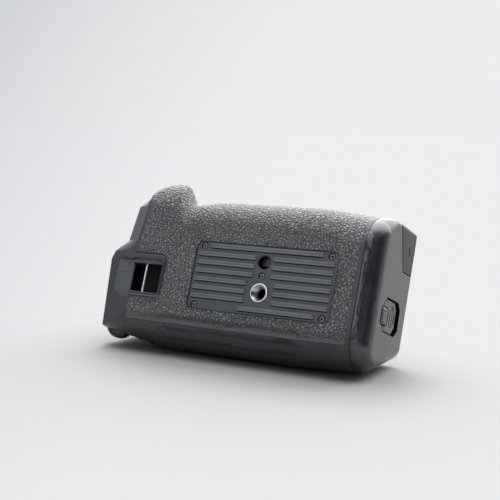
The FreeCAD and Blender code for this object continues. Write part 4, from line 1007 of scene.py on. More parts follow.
class Repeat:
    """A Geometry Nodes tree that sets a shape at many spots, turns it, stretches it and dresses it."""

    INPUTS = (("Places", "NodeSocketGeometry"), ("Shape", "NodeSocketObject"), ("Size", "NodeSocketFloat"),
              ("Spread", "NodeSocketFloat"), ("Seed", "NodeSocketInt"), ("Finish", "NodeSocketMaterial"))

    def __init__(self) -> None:
        """Build the tree."""
        self.tree = bpy.data.node_groups.new("repeat_shape", "GeometryNodeTree")
        for label, kind in self.INPUTS:
            self.tree.interface.new_socket(label, in_out="INPUT", socket_type=kind)
        self.tree.interface.new_socket("Pieces", in_out="OUTPUT", socket_type="NodeSocketGeometry")
        given = self.add("NodeGroupInput")
        shape = self.add("GeometryNodeObjectInfo", Object=given["Shape"])
        turn = self.attribute("turn", Carried.VECTOR)
        spin = self.add("FunctionNodeRandomValue", Min=0.0, Max=given["Spread"], Seed=given["Seed"])
        about = self.add("ShaderNodeCombineXYZ", Y=spin[1])
        turned_by = self.add("FunctionNodeRotateRotation", {"rotation_space": "LOCAL"},
                             {"Rotation": turn, "Rotate By": about[0]})
        copies = self.add("GeometryNodeInstanceOnPoints", inputs={
            "Points": given["Places"], "Instance": shape["Geometry"], "Rotation": turned_by[0],
            "Scale": given["Size"]})
        real = self.add("GeometryNodeRealizeInstances", Geometry=copies[0])
        stretch = self.add("ShaderNodeMath", {"operation": "MULTIPLY"},
                           {0: self.attribute("reach", Carried.NUMBER),
                            1: self.attribute("side", Carried.NUMBER)})
        shift = self.add("ShaderNodeCombineXYZ", X=stretch[0])
        wide = self.add("GeometryNodeSetPosition", Geometry=real[0], Offset=shift[0])
        dressed = self.add("GeometryNodeSetMaterial", Geometry=wide[0], Material=given["Finish"])
        self.add("NodeGroupOutput", Pieces=dressed[0])

    def add(self, kind: str, settings: dict[str, Any] | None = None, inputs: dict[Any, Any] | None = None,
            **named: Any) -> Any:
        """Add a node with its settings first, then its sockets.

        Args:
            kind: Blender's type name of the node.
            settings: Properties to set.
            inputs: Values or output sockets by name or number.
            **named: More of the same, by name.

        Returns:
            The node's outputs.
        """
        node = self.tree.nodes.new(kind)
        for name, value in (settings or {}).items():
            setattr(node, name, value)
        for key, value in {**(inputs or {}), **named}.items():
            socket = self.float_socket(node, key) if kind == "FunctionNodeRandomValue" else node.inputs[key]
            if isinstance(value, bpy.types.NodeSocket):
                self.tree.links.new(value, socket)
            else:
                socket.default_value = value
        return node.outputs

    @staticmethod
    def float_socket(node: bpy.types.Node, name: str) -> bpy.types.NodeSocket:
        """The usable input of a random value node with this name."""
        kind = "INT" if name == "Seed" else "VALUE"
        return next(socket for socket in node.inputs if socket.name == name and socket.type == kind)

    def attribute(self, name: str, kind: Carried) -> bpy.types.NodeSocket:
        """The output of a named attribute."""
        return self.add("GeometryNodeInputNamedAttribute", {"data_type": kind.value}, {"Name": name})[0]

    @staticmethod
    def carry(data: bpy.types.Mesh, name: str, kind: Carried, values: Sequence[float]) -> None:
        """Give each point of a mesh a number or a vector under a name."""
        layer = data.attributes.new(name, kind.value, "POINT")
        layer.data.foreach_set("vector" if kind is Carried.VECTOR else "value", values)

    def make(self, name: str, shape: bmesh.types.BMesh, spots: Sequence[Spot], finish: Finish,
             spread: float = 0.0, crease: float = 32.0) -> bpy.types.Object:
        """Repeat a shape.

        Args:
            name: Name of the piece.
            shape: The shape at the origin; vertices away from the middle in X stretch with a spot's reach.
            spots: Where the shape is repeated.
            finish: Finish of all.
            spread: Largest random turn about the shape's own Y axis.
            crease: Edges that turn by more degrees than this stay sharp.

        Returns:
            The piece as a plain mesh.
        """
        model = shown("model", settled(shape, "model"))
        sides = [math.copysign(1.0, vert.co.x) for vert in model.data.vertices]
        self.carry(model.data, "side", Carried.NUMBER, sides)
        points = bpy.data.meshes.new("spots")
        points.from_pydata([Vector(spot.place) * MM for spot in spots], [], [])
        self.carry(points, "turn", Carried.VECTOR, [angle for spot in spots for angle in spot.turn])
        self.carry(points, "reach", Carried.NUMBER, [spot.reach * MM for spot in spots])
        holder = shown("spots", points)
        modifier = holder.modifiers.new("repeat", "NODES")
        modifier.node_group = self.tree
        values = {"Shape": model, "Size": 1.0, "Spread": spread, "Seed": SEED, "Finish": finish.material()}
        for item in self.tree.interface.items_tree:
            if item.name in values:
                modifier[item.identifier] = values[item.name]
        data = evaluated(holder)
        bpy.data.objects.remove(holder)
        bpy.data.objects.remove(model)
        data.name = name
        softened(data, crease)
        return shown(name, data)


@dataclass
class RibbedPlate:
    """The screwed plate on the bottom: its slab, ribs, screws and tripod socket.

    Sizes are in mm. The outside of the part lies towards -Y, so a smaller Y stands further out.
    """

    repeat: Repeat
    wide: float = 75.3
    low: float = -10.8
    high: float = 22.2
    corner: float = 3.1
    face: float = 0.25
    back: float = 2.4
    bevel: float = 0.35
    rib_top: float = -0.55
    rib_wide: float = 2.1
    rib_shadow_drop: float = 0.42
    rib_rows: int = 8
    hole_rows: int = 4
    rib_first: float = 20.4
    rib_pitch: float = 4.1
    rib_end: float = 36.3
    rib_short: float = 30.1
    hole_gap: float = 4.3
    socket_gap: float = 7.0
    last_start: float = -10.5
    locator: tuple[float, float] = (14.5, 3.17)
    screws: tuple[tuple[float, float], ...] = (
        (33.7, 20.1), (-33.7, 20.1), (33.7, -8.7), (-33.7, -8.7), (0.0, 8.0))
    deck_screws: tuple[tuple[float, float], ...] = (
        (-34.0, 40.6), (34.0, 40.6), (-34.0, -17.0), (34.0, -17.0))
    deck_screw_y: float = 42.8
    head: float = 1.35
    rim: float = 4.68
    bore: float = 3.3
    thread_pitch: float = 1.27
    thread_high: float = 0.42
    deep: float = 5.6
    proud: float = 0.012

    def hole(self, x: float, z: float, radius: float, chamfer: float) -> bmesh.types.BMesh:
        """A cutter for a round hole with a chamfered mouth.

        Args:
            x: X of its middle, in mm.
            z: Z of its middle.
            radius: Its radius.
            chamfer: Width of the chamfer.

        Returns:
            The mesh, in metres.
        """
        profile = [(0, self.back + 1), (radius, self.back + 1), (radius, self.face + chamfer),
                   (radius + chamfer, self.face), (radius + chamfer, self.face - 1), (0, self.face - 1)]
        return moved(turned(profile, 40), (x, 0, z))

    def slab(self) -> bpy.types.Object:
        """The plate with its holes."""
        box = (-self.wide / 2, self.wide / 2, self.low, self.high)
        rings = [sunk(rectangle(*inner(box, inset), self.corner - inset), y) for inset, y in
                 ((0.3, self.back), (0, self.back - 0.3), (0, self.face + self.bevel),
                  (self.bevel * 0.3, self.face + self.bevel * 0.3), (self.bevel, self.face))]
        holes = [self.hole(x, z, self.head + 0.25, 0.3) for x, z in self.screws]
        holes += [self.hole(0, self.locator[0], self.locator[1], 0.5), self.hole(0, 0, self.rim + 0.12, 0.2)]
        return finished(cut_away(stacked(rings), *holes), "plate_slab", PLATE)

    @staticmethod
    def round_ended(radius: float, lift: float) -> np.ndarray:
        """The outline of a rib, a circle that a spot's reach draws out.

        Args:
            radius: Half the rib's width, in mm.
            lift: How far it is shifted along Z.

        Returns:
            Points in the plane of X and Z, as rows.
        """
        loop = []
        for side in (1, -1):
            for step in range(9):
                angle = side * math.pi / 2 - math.pi * step / 8
                loop.append((side * 0.01 + radius * math.cos(angle), radius * math.sin(angle) + lift))
        return np.array(loop)

    def rib_shadow(self) -> bmesh.types.BMesh:
        """Painted shadow: a near-black strip along the lower edge of a rib, just proud of the slab."""
        loop = self.round_ended(self.rib_wide / 2, -self.rib_shadow_drop)
        return stacked([sunk(loop, y) for y in (self.face + 0.2, self.face - self.proud)])

    def rib(self) -> bmesh.types.BMesh:
        """One short rib with round ends, whose lower edge is bevelled."""
        half, top = self.rib_wide / 2, self.rib_top
        levels = ((0, 0, self.face + 0.1), (0, 0, top + 0.55), (0.33, 0.28, top + 0.12),
                  (0.42, 0.33, top + 0.03), (0.52, 0.36, top))
        return stacked([sunk(self.round_ended(half - inset, lift), y) for inset, lift, y in levels])

    def rib_spots(self) -> list[Spot]:
        """Where the ribs are."""
        spots = []
        for row in range(self.rib_rows):
            z = self.rib_first - row * self.rib_pitch
            if row == 0:
                spans = [(-self.rib_short, self.rib_short)]
            elif row == self.rib_rows - 1:
                spans = [(self.last_start, self.rib_short)]
            else:
                gap = self.hole_gap if row < self.hole_rows else self.socket_gap
                spans = [(-self.rib_end, -gap), (gap, self.rib_end)]
            spots += [Spot(((a + b) / 2, 0, z), reach=(b - a - self.rib_wide) / 2) for a, b in spans]
        return spots

    def screw(self) -> bmesh.types.BMesh:
        """A small countersunk screw with a cross recess, its head towards -Y."""
        head = self.head
        profile = [(0, 3.4), (0.7, 3.4), (0.7, 0.9), (head, 0.55), (head, 0.2), (head - 0.12, 0.06),
                   (head - 0.4, 0.0), (0, 0.0)]
        cross = []
        for wide, tall in ((0.85, 0.24), (0.24, 0.85)):
            rings = [sunk(rectangle(-wide * s, wide * s, -tall * s, tall * s, 0.05, 2), y)
                     for s, y in ((1.1, -0.3), (1.0, 0.0), (0.45, 0.7))]
            cross.append(stacked(rings))
        return cut_away(turned(profile, 24), *cross)

    def recess(self) -> bmesh.types.BMesh:
        """Painted shade: a near-black insert at the bottom of a screw's cross recess."""
        low, high, radius = 0.5, -self.proud, 0.42
        crosses = [stacked([sunk(rectangle(-wide, wide, -tall, tall, 0.06, 2), y) for y in (low, high)])
                   for wide, tall in ((0.72, 0.22), (0.22, 0.72))]
        return together(*crosses, turned([(0, low), (radius, low), (radius, high), (0, high)], 16))

    def fasteners(self) -> None:
        """The plate's screws and the deck's screws, turned at random."""
        plate = [Spot((x, self.face + 0.3, z)) for x, z in self.screws]
        deck = [Spot((x, self.deck_screw_y, z), (math.pi, 0, 0)) for x, z in self.deck_screws]
        for name, shape, spots, finish, nodes in (
                ("plate_screw_set", self.screw, plate, DARK_SCREW, ("plate_screws",)),
                ("plate_screw_recesses", self.recess, plate, SHADE_BLACK, ()),
                ("deck_screw_set", self.screw, deck, DARK_SCREW, ("deck_screws",))):
            piece = self.repeat.make(name, shape(), spots, finish, math.tau, 40)
            installed(piece, "housing", "dark_screw", *nodes)

    def socket(self) -> bpy.types.Object:
        """The threaded bush."""
        back, root, pitch = self.deep + 0.75, self.bore - self.thread_high, self.thread_pitch
        profile = [(0, back), (self.rim - 0.3, back), (self.rim, self.deep + 0.4), (self.rim, 0.3),
                   (self.rim - 0.18, 0.08), (self.rim - 0.4, 0.0), (self.rim - 0.75, 0.0), (self.bore, 0.75)]
        y = 0.95
        while y < self.deep - pitch / 2:
            profile += [(self.bore, y), (root, y + pitch * 0.38), (root, y + pitch * 0.5)]
            y += pitch
        profile += [(self.bore, self.deep), (0, self.deep)]
        return finished(turned(profile, 56), "socket_bush", STEEL, 25)

    def socket_floor(self) -> bpy.types.Object:
        """Painted shade: a near-black disc at the bottom of the threaded bore."""
        radius, low, high = self.bore - 0.45, self.deep + 0.2, self.deep - 0.25
        return finished(turned([(0, low), (radius, low), (radius, high), (0, high)], 40), "socket_floor", SHADE_BLACK)

    def cup(self) -> bpy.types.Object:
        """A near-black cup of painted shade behind the locating hole."""
        z, radius = self.locator
        profile = [(0, 6.4), (radius + 0.5, 6.4), (radius + 0.6, 6.2), (radius + 0.6, 1.2),
                   (radius - 0.03, 1.1), (radius - 0.03, 5.8), (0, 5.8)]
        return finished(moved(turned(profile, 40), (0, 0, z)), "locating_cup", SHADE_BLACK)

    def build(self) -> None:
        """Make and dress the plate's pieces."""
        slab = self.slab()
        installed(self.cup(), "housing", "plate_black")
        installed(self.socket_floor(), "housing", "bright_steel")
        installed(slab, "housing", "plate_black", "base_plate")
        for name, shape, finish in (("plate_ribs", self.rib(), RIB), ("plate_grooves", self.rib_shadow(), SHADE_BLACK)):
            piece = self.repeat.make(name, shape, self.rib_spots(), finish, crease=50)
            installed(piece, "housing", "plate_black")
        installed(self.socket(), "housing", "bright_steel", "tripod_socket")
        self.fasteners()


@dataclass
class StrapFrame:
    """The moulded frame round the strap slot, with the channel that leads to it from the end.

    Sizes are in mm. Boxes are along X and Z, and steps hold the share of the way from the outer edge to the
    slot, and the Y, of each ring.
    """

    outer: Box = (-80.2, -53.4, -8.6, 14.9)
    slot: Box = (-74.5, -56.8, -5.2, 8.9)
    radii: tuple[float, float] = (3.4, 0.9)
    depth: float = 10.5
    steps: tuple[tuple[float, float], ...] = (
        (0.0, 2.0), (0.0, 0.1), (0.05, -0.12), (0.11, 0.0), (0.15, 0.75), (0.22, 0.75), (0.26, 0.05),
        (0.33, -0.1), (0.48, 0.12), (0.56, 0.5), (0.60, 1.3), (0.68, 1.35), (0.74, 0.75), (0.82, 0.85),
        (0.97, 1.7), (1.0, 2.4), (1.0, 10.5))
    channel: Box = (-84.2, -74.4, -6.2, 10.9)
    channel_y: float = 3.9
    bevel_from: float = -72.5
    bevel_slope: float = 0.3333
    bevel_y: float = 0.04
    bevel_deep: float = 2.3
    pin: Point = (-66.9, 4.3, 0.85)
    pin_ends: tuple[float, float] = (-6.5, 10.2)

    def walls(self, steps: Sequence[tuple[float, float]], end: bool) -> bmesh.types.BMesh:
        """Rings from the outer edge to the slot, fitted to the bevelled end and the channel.

        Args:
            steps: Share of the way from the outer edge to the slot, and Y, of each ring.
            end: Close the last ring.

        Returns:
            The mesh, in metres.
        """
        rings = []
        for share, y in steps:
            box = [a + (b - a) * share for a, b in zip(self.outer, self.slot)]
            radius = self.radii[0] + (self.radii[1] - self.radii[0]) * share
            rings.append(sunk(rectangle(*box, radius), y))
        mesh = stacked(rings, start=False, end=end)
        low, high = self.channel[2:]
        cuts = [((0, 0, z * MM), (0, 0, 1)) for z in (low, low + 0.02, high - 0.02, high)]
        cuts += [((x * MM, 0, 0), (1, 0, 0)) for x in (self.bevel_from - 0.25, self.bevel_from + 0.25)]
        divided(mesh, cuts, 1e-7)
        for vert in mesh.verts:
            x, y, z = vert.co / MM
            inside = low + 0.01 < z < high - 0.01
            if x < self.bevel_from and not inside and y < self.bevel_deep:
                y = self.bevel_y
            y = max(y, y + (self.bevel_from - x) * self.bevel_slope)
            if inside and x < self.slot[0] + 0.1:
                y = max(y, self.channel_y + 0.4)
            vert.co.y = min(y, self.depth) * MM
        return mesh

    def frame(self) -> bpy.types.Object:
        """The stepped frame."""
        return finished(self.walls(self.steps[:-1], False), "strap_frame", FRAME_TRIM, 30)

    def pit_shade(self) -> bpy.types.Object:
        """The walls and the bottom of the slot, near-black with painted shade."""
        return finished(self.walls(self.steps[-2:], True), "strap_pit", PIT_SHADE, 30)

    def floor(self) -> bpy.types.Object:
        """The floor of the channel."""
        rings = [sunk(rectangle(*inner(self.channel, inset), 0.3, 3), self.channel_y + down)
                 for inset, down in ((0.2, 1.2), (0, 1.0), (0, 0.12), (0.12, 0))]
        return finished(stacked(rings), "strap_channel_floor", FRAME_TRIM)

    def bar(self) -> bpy.types.Object:
        """The steel pin across the slot."""
        x, y, radius = self.pin
        low, high = self.pin_ends
        profile = [(0, low), (radius - 0.1, low), (radius, low + 0.1), (radius, high - 0.1),
                   (radius - 0.1, high), (0, high)]
        return finished(moved(turned(profile, 24), (x, y, 0), (0, 0, 1)), "strap_bar", STEEL)

    def build(self) -> None:
        """Make and dress the frame's pieces."""
        installed(self.frame(), "housing", "casing_black", "strap_bezel")
        installed(self.pit_shade(), "housing", "casing_black")
        installed(self.floor(), "housing", "casing_black")
        installed(self.bar(), "housing", "bright_steel", "strap_pin")


@dataclass
class Latch:
    """The sliding latch in the window of the end cap, with its thumb tab.

    Sizes are in mm. Boxes are along Y and Z. The face and the other levels are along X.
    """

    repeat: Repeat
    outer: Box = (13.6, 30.5, -8.4, 6.2)
    window: Box = (13.2, 33.2, -8.8, 6.6)
    cut: float = 3.0
    face: float = 56.45
    back: float = 54.4
    stem: Box = (18.2, 23.2, -4.9, 2.7)
    stem_back: float = 50.6
    panel: Box = (20.3, 29.4, -6.3, 4.1)
    panel_deep: float = 0.4
    ridge_wide: float = 0.5
    ridge_high: float = 0.36
    ridge_pitch: float = 2.5
    tab: Box = (11.4, 18.9, -5.8, 2.0)
    tab_top: float = 57.15
    tooth_wide: float = 0.32
    tooth_roundness: float = 0.78125
    tooth_pitch: float = 1.27
    bed_from: float = 28.0

    @staticmethod
    def level(box: Box, inset: float, radius: float, x: float) -> np.ndarray:
        """A rounded rectangle of Y and Z at one X."""
        return stood(rectangle(*inner(box, inset), max(radius - inset, 0.1)), x)

    def octagon(self, box: Box, inset: float, x: float) -> np.ndarray:
        """A rectangle of Y and Z with cut corners, at one X.

        Args:
            box: The rectangle.
            inset: How far its sides are moved inwards.
            x: Its X.

        Returns:
            Points as rows.
        """
        left, right, low, high = inner(box, inset)
        cut = self.cut - inset * 0.6
        places = ((right, high - cut), (right - cut, high), (left + cut, high), (left, high - cut),
                  (left, low + cut), (left + cut, low), (right - cut, low), (right, low + cut))
        return stood(rounded([np.array(place) for place in places], [0.5] * 8, 3), x)

    def plate(self) -> bpy.types.Object:
        """The latch plate with its sunk panel and its stem."""
        panel = [self.octagon(self.panel, inset, self.face - down) for inset, down in
                 ((0.0, 0.0), (0.12, 0.35), (0.4, self.panel_deep))]
        rings = [self.octagon(self.outer, inset, x) for inset, x in
                 ((0.0, self.back), (0.0, self.face - 0.35), (0.1, self.face - 0.1), (0.35, self.face))]
        stem = [self.level(self.stem, 0.0, 0.4, x) for x in (self.stem_back, self.back + 0.3)]
        return finished(together(stacked(rings + panel), stacked(stem)), "latch_plate", LATCH)

    def rim(self) -> bpy.types.Object:
        """A near-black line round the window in the end cap: the gap, with painted shade down the window's
        walls.
        """
        path = ((-0.32, 56.9), (-0.32, 57.015), (0.02, 57.015), (0.02, 54.25), (-0.1, 54.25), (-0.1, 56.9))
        rings = [self.octagon(self.window, inset, x) for inset, x in path + path[:1]]
        mesh = stacked(rings, False, False)
        bmesh.ops.remove_doubles(mesh, verts=mesh.verts[:], dist=1e-7)
        return finished(mesh, "latch_window_rim", SHADE_BLACK)

    def bed(self) -> bpy.types.Object:
        """The floor of the window beside the latch plate."""
        box = (self.bed_from, *inner(self.window, -0.1)[1:])
        levels = ((0.1, 53.3), (0.0, 53.4), (0.0, 54.15), (0.1, 54.2))
        rings = [self.level(box, inset, 0.6, x) for inset, x in levels]
        return finished(stacked(rings), "latch_window_bed", LATCH)

    def thumb(self) -> bpy.types.Object:
        """The tab, standing in its painted shadow."""
        top = self.tab_top
        levels = ((0.0, self.face - 0.8), (0.0, top - 0.3), (0.1, top - 0.1), (0.3, top))
        rings = [self.level(self.tab, inset, 1.5, x) for inset, x in levels]
        return finished(stacked(rings), "latch_tab", KNOB)

    def tab_shadow(self) -> bpy.types.Object:
        """Painted shadow: a near-black rim round the tab, just proud of the cap's face."""
        box = (self.tab[0] - 0.5, self.tab[1] + 0.4, self.tab[2] - 0.5, self.tab[3] + 0.5)
        levels = ((0.0, self.face - 0.5), (0.0, 57.03), (0.1, 57.06))
        rings = [self.level(box, inset, 1.8, x) for inset, x in levels]
        return finished(stacked(rings), "latch_tab_surround", SHADE_BLACK)

    def ridges(self) -> bpy.types.Object:
        """Fine ridges on the panel, lighter with a painted highlight."""
        left, _, low, high = self.panel
        levels = ((1.0, -0.3), (1.0, self.ridge_high * 0.4), (0.5, self.ridge_high))
        shape = tapered((high - low) / 2 - 1.3, self.ridge_wide, 0.9, levels, upright=True)
        spots = [Spot((self.face - self.panel_deep, left + 2.0 + self.ridge_pitch * k, (low + high) / 2))
                 for k in range(3)]
        return self.repeat.make("latch_ridges", shape, spots, RIDGE_HIGHLIGHT)

    def teeth(self) -> bpy.types.Object:
        """Teeth across the tab for the thumb."""
        left, right, low, _ = self.tab
        levels = ((1.0, -0.1), (1.0, 0.12), (0.5, 0.3))
        shape = tapered((right - left) / 2 - 1.0, self.tooth_wide, self.tooth_roundness, levels)
        spots = [Spot((self.tab_top, (left + right) / 2, low + 1.35 + self.tooth_pitch * k))
                 for k in range(5)]
        return self.repeat.make("latch_teeth", shape, spots, LATCH)

    def build(self) -> None:
        """Make and dress the latch's pieces."""
        installed(self.plate(), "latch", "plate_black", "tray_latch")
        for piece in (self.thumb(), self.tab_shadow(), self.ridges(), self.teeth()):
            installed(piece, "latch", "plate_black")
        installed(self.rim(), "tray", "casing_black")
        installed(self.bed(), "tray", "casing_black")


@dataclass
class Wheel:
    """A knurled wheel that turns about a line along Y, with its sizes in mm."""

    repeat: Repeat
    name: str
    body: str
    node: str
    centre: Point
    radius: float = 8.0
    thick: float = 5.4
    teeth: int = 40
    tooth: float = 0.45
    bore: float = 1.6

    def root(self) -> float:
        """Radius at the foot of the teeth."""
        return self.radius - self.tooth

    def soft(self) -> float:
        """Width of the rounded edges."""
        return min(0.8, self.thick * 0.16)

    def core(self) -> bpy.types.Object:
        """The wheel without its teeth, with a shallow sunk ring round each side."""
        root, soft, half = self.root(), self.soft(), self.thick / 2
        side = [(self.bore, 0.3), (self.bore + 0.3, 0), (root * 0.55, 0), (root * 0.6, 0.35),
                (root * 0.82, 0.35), (root * 0.86, 0), (root - soft, 0), (root - soft * 0.3, soft * 0.3),
                (root, soft)]
        profile = [(radius, -half + down) for radius, down in side]
        profile += [(radius, half - down) for radius, down in reversed(side)]
        mesh = turned(profile + profile[:1], 64, closed=False)
        bmesh.ops.remove_doubles(mesh, verts=mesh.verts, dist=1e-6)
        bmesh.ops.recalc_face_normals(mesh, faces=mesh.faces)
        return finished(moved(mesh, self.centre), f"{self.name}_core", KNOB)

    def knurl(self) -> bpy.types.Object:
        """The teeth round the wheel."""
        root = self.root()
        levels = ((1.0, root - 0.2), (0.9, root + self.tooth * 0.7), (0.45, self.radius))
        wide = math.tau * self.radius / self.teeth * 0.30
        shape = tapered(self.thick / 2 - self.soft(), wide, 0.8, levels, 2)
        spots = [Spot(self.centre, (0.0, math.tau * k / self.teeth, 0.0)) for k in range(self.teeth)]
        return self.repeat.make(f"{self.name}_teeth", shape, spots, KNOB)

    def build(self) -> None:
        """Make and dress the wheel and its teeth."""
        installed(self.core(), self.body, "knob_black", self.node)
        installed(self.knurl(), self.body, "knob_black")


@dataclass
class Button:
    """A round push button with a softly domed or dished top."""

    nodes: dict[str, bpy.types.Object]
    body: str
    outward: Point
    dome: float = 0.25

    def build(self) -> None:
        """Measure the CAD button, then make and dress a turned one in its place."""
        node = f"{self.body}_button"
        axis = np.array(Vector(self.outward).normalized())
        points = np.array([vert.co for vert in self.nodes[node].data.vertices]) / MM
        along = points @ axis
        top = along > along.max() - 0.02
        centre = (points[top].min(0) + points[top].max(0)) / 2
        away = np.linalg.norm((points - centre) - np.outer((points - centre) @ axis, axis), axis=1)
        head, wide = away[top].max(), away.max()
        depth = along.max() - along.min()
        beyond = away > head + 0.15
        rim = along.max() - along[beyond].max() if beyond.any() else depth
        profile = [(0, -depth), (wide - 0.1, -depth), (wide, -depth + 0.1)]
        if rim < depth - 0.2:
            profile += [(wide, -rim - 0.1), (wide - 0.1, -rim), (head, -rim)]
        profile += [(head, -0.45), (head - 0.06, -0.2), (head - 0.25, -0.03), (head - 0.5, 0.02),
                    (head * 0.6, self.dome * 0.6), (head * 0.3, self.dome * 0.9), (0, self.dome)]
        piece = finished(moved(turned(profile, 40), centre, axis), f"{node}_cap", KNOB, 40)
        installed(piece, self.body, "knob_black", node)


@dataclass
class PullSlot:
    """The slot in the port cover for a finger nail, with its sizes in mm along Y and Z."""

    centre: tuple[float, float] = (34.0, 32.2)
    along: tuple[float, float] = (0.431, -0.902)
    half: tuple[float, float] = (2.3, 0.42)
    face: float = 57.0

    def build(self) -> None:
        """Make the slot as a near-black shape of painted shade, just proud of the cover."""
        turn = np.array((self.along, (-self.along[1], self.along[0])))
        rings = []
        for inset, x in ((0.0, self.face - 0.2), (0.0, self.face + 0.01), (0.06, self.face + 0.02)):
            long, wide = (side - inset for side in self.half)
            loop = rectangle(-long, long, -wide, wide, wide * 0.95, 4)
            rings.append(stood(loop @ turn + self.centre, x))
        installed(finished(stacked(rings), "port_pull_slot", SHADE_BLACK), "port_flap", "seal_rubber")


@dataclass(frozen=True)
class Glow:
    """A soft patch on what surrounds the object.

    way is its direction, edge the cosines from there at which it starts and is full, colour its light.
    """

    way: Point
    edge: tuple[float, float]
    colour: Colour

    def over(self, board: Board, way: Wire, ground: Wire | Colour) -> Wire:
        """The patch over what is behind it.

        Args:
            board: Board to draw on.
            way: Direction that is looked in.
            ground: Colour behind the patch.

        Returns:
            The colour.
        """
        share = board.vector(Arrow.DOT, way, tuple(Vector(self.way).normalized())).above(*self.edge)
        return board.blend(share, ground, self.colour)


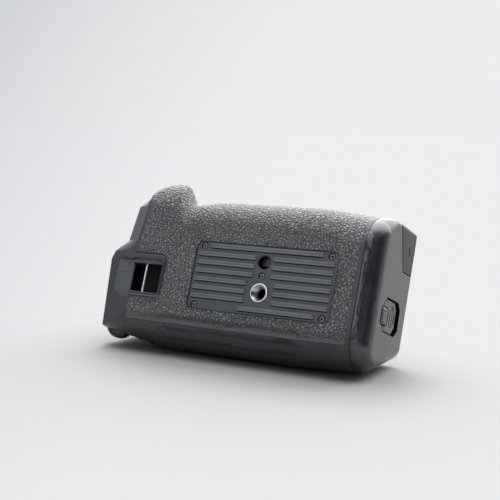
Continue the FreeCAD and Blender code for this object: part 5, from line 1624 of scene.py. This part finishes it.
@dataclass
class Studio:
    """Camera, floor and lights.

    fill lights the object and gloss is what it mirrors: the patches lie over fill_low and gloss_low in order.
    """

    lens: float = 74.88
    position: Point = (0.229389, -0.417653, -0.065723)
    right: Point = (0.870065, 0.45863, 0.180679)
    up: Point = (-0.074246, -0.240426, 0.967824)
    back: Point = (0.487313, -0.855484, -0.175135)
    tilt: float = 20.0
    floor_z: float = -0.0367
    floor_half: float = 6.0
    floor_level: Colour = (2.437, 2.482, 2.510)
    fill_low: Colour = (0.075, 0.079, 0.085)
    fill: tuple[Glow, ...] = (
        Glow((0.0, -0.342, 0.94), (0.1, 0.95), (0.28, 0.287, 0.30)),
        Glow((-0.15, 0.42, 0.86), (0.32, 0.88), (4.35, 4.43, 4.51)))
    gloss_low: Colour = (0.20, 0.215, 0.24)
    gloss: tuple[Glow, ...] = (
        Glow((-0.35, -0.88, 0.34), (0.80, 0.97), (1.20, 1.30, 1.44)),
        Glow((-0.487313, 0.855484, 0.175135), (0.15, 0.5), (0.50, 0.50, 0.52)),
        Glow((-0.15, 0.42, 0.86), (0.44, 0.86), (3.9, 3.95, 4.0)),
        Glow((0.93, -0.28, 0.17), (0.86, 0.93), (0.005, 0.005, 0.006)))
    pale: Colour = (0.848, 0.856, 0.873)
    dim: Glow = Glow((-0.4159, -0.8774, 0.2394), (-0.493, 0.188), (0.302, 0.334, 0.365))
    key_way: Point = (0.27, -0.26, -0.93)
    key_power: float = 1.75
    key_angle: float = 22.0

    def camera(self) -> None:
        """Put the camera where the photograph was taken from."""
        data = bpy.data.cameras.new("view")
        data.lens = self.lens
        data.sensor_width = 36.0
        data.clip_start = 0.01
        view = shown("view", data)
        axes = Matrix((self.right, self.up, self.back)).transposed()
        view.matrix_world = Matrix.Translation(self.position) @ axes.to_4x4()
        bpy.context.scene.camera = view

    def floor(self) -> None:
        """Lay the pale floor that the object's slanted side rests on."""
        slope = math.tan(math.radians(self.tilt))
        half = self.floor_half
        mesh = bmesh.new()
        mesh.faces.new([mesh.verts.new((x, y, self.floor_z + slope * y)) for x, y in
                        ((-half, -half), (half, -half), (half, half), (-half, half))])
        floor = shown("floor", settled(mesh, "floor"))
        paper = bpy.data.materials.new("floor_paper")
        board = Board(paper)
        way = board.vector(Arrow.UNIT, board.vector(Arrow.SUBTRACT, board.place(), self.position))
        # The floor's colour is painted with shade that dims it towards the upper left, as seen from the
        # camera's place.
        board.surface(base_color=self.backdrop(board, way, self.floor_level), roughness=1.0,
                      specular_ior_level=0.0)
        floor.data.materials.append(paper)

    def world(self) -> None:
        """The soft light from above, what gloss reflects, and the pale background that the camera sees."""
        world = bpy.data.worlds.new("studio")
        bpy.context.scene.world = world
        board = Board(world)
        rays = board.node("ShaderNodeLightPath").socket.node
        camera, through, mirrored = (Wire(board, rays.outputs[f"Is {kind} Ray"])
                                     for kind in ("Camera", "Transmission", "Glossy"))
        way = board.node("ShaderNodeTexCoord", output="Generated")
        fill, gloss = self.fill_low, self.gloss_low
        for glow in self.fill:
            fill = glow.over(board, way, fill)
        for glow in self.gloss:
            gloss = glow.over(board, way, gloss)
        pale = self.backdrop(board, way, (1.0, 1.0, 1.0))
        colour = board.blend(camera + through, board.blend(mirrored, fill, gloss), pale)
        light = board.node("ShaderNodeBackground", {}, {"Color": colour, "Strength": 1.0})
        board.node("ShaderNodeOutputWorld", {}, {"Surface": light})

    def backdrop(self, board: Board, way: Wire, level: Colour) -> Wire:
        """The pale backdrop, a little dimmer towards the upper left; on the floor this dimming is painted
        shade.

        Args:
            board: Board to draw on.
            way: Direction from the camera's place.
            level: Light that falls on the surface, by which its colour is divided.

        Returns:
            The colour.
        """
        pale, dim = (tuple(a / b for a, b in zip(colour, level)) for colour in (self.pale, self.dim.colour))
        return replace(self.dim, colour=dim).over(board, way, pale)

    def key(self) -> None:
        """Hang the soft sun that the shadows come from."""
        data = bpy.data.lights.new("key", "SUN")
        data.energy = self.key_power
        data.angle = math.radians(self.key_angle)
        lamp = shown("key", data)
        lamp.visible_glossy = False
        lamp.matrix_world = Vector(self.key_way).to_track_quat("-Z", "Y").to_matrix().to_4x4()

    def build(self) -> None:
        """Set up the studio."""
        bpy.context.scene.view_settings.view_transform = "Standard"
        self.camera()
        self.floor()
        self.world()
        self.key()


def dress_nodes(frame: dict[str, Any]) -> None:
    """Give every node that is still shown the finish of its slot.

    Args:
        frame: The loaded frame.
    """
    slots = {part["node"]: part["material_slot"] for part in frame["record"]["subparts"]}
    for name, node in frame["nodes"].items():
        finish = BY_SLOT.get(slots.get(name, "casing_black"), CASING)
        node.data.materials.clear()
        node.data.materials.append(finish.material())


def main(frame: dict[str, Any]) -> None:
    """Build every piece around the frame.

    Args:
        frame: The loaded frame.
    """
    logging.basicConfig(level=logging.INFO, format="%(name)s: %(message)s")
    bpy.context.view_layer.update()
    Studio().build()
    dress_nodes(frame)
    nodes = frame["nodes"]
    repeat = Repeat()
    Casing(nodes).build()
    RibbedPlate(repeat).build()
    StrapFrame().build()
    Latch(repeat).build()
    PullSlot().build()
    Wheel(repeat, "rear_wheel", "rear_thumb_wheel", "rear_dial", (-82.5, 14.0, -20.6)).build()
    Wheel(repeat, "front_wheel", "front_thumb_wheel", "front_dial", (-75.0, 24.0, 25.0)).build()
    Wheel(repeat, "lock_wheel", "lock", "lock_wheel", (0.0, 36.9, 0.0), 24.0, 5.0, 80, 0.7, 5.2).build()
    for body in ("focus_point", "exposure_lock", "focus_start"):
        Button(nodes, body, (0.0, 0.342, -0.94)).build()
    Button(nodes, "shutter", (-0.669, 0.0, 0.743), -0.35).build()


if __name__ == "__main__":
    main(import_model())
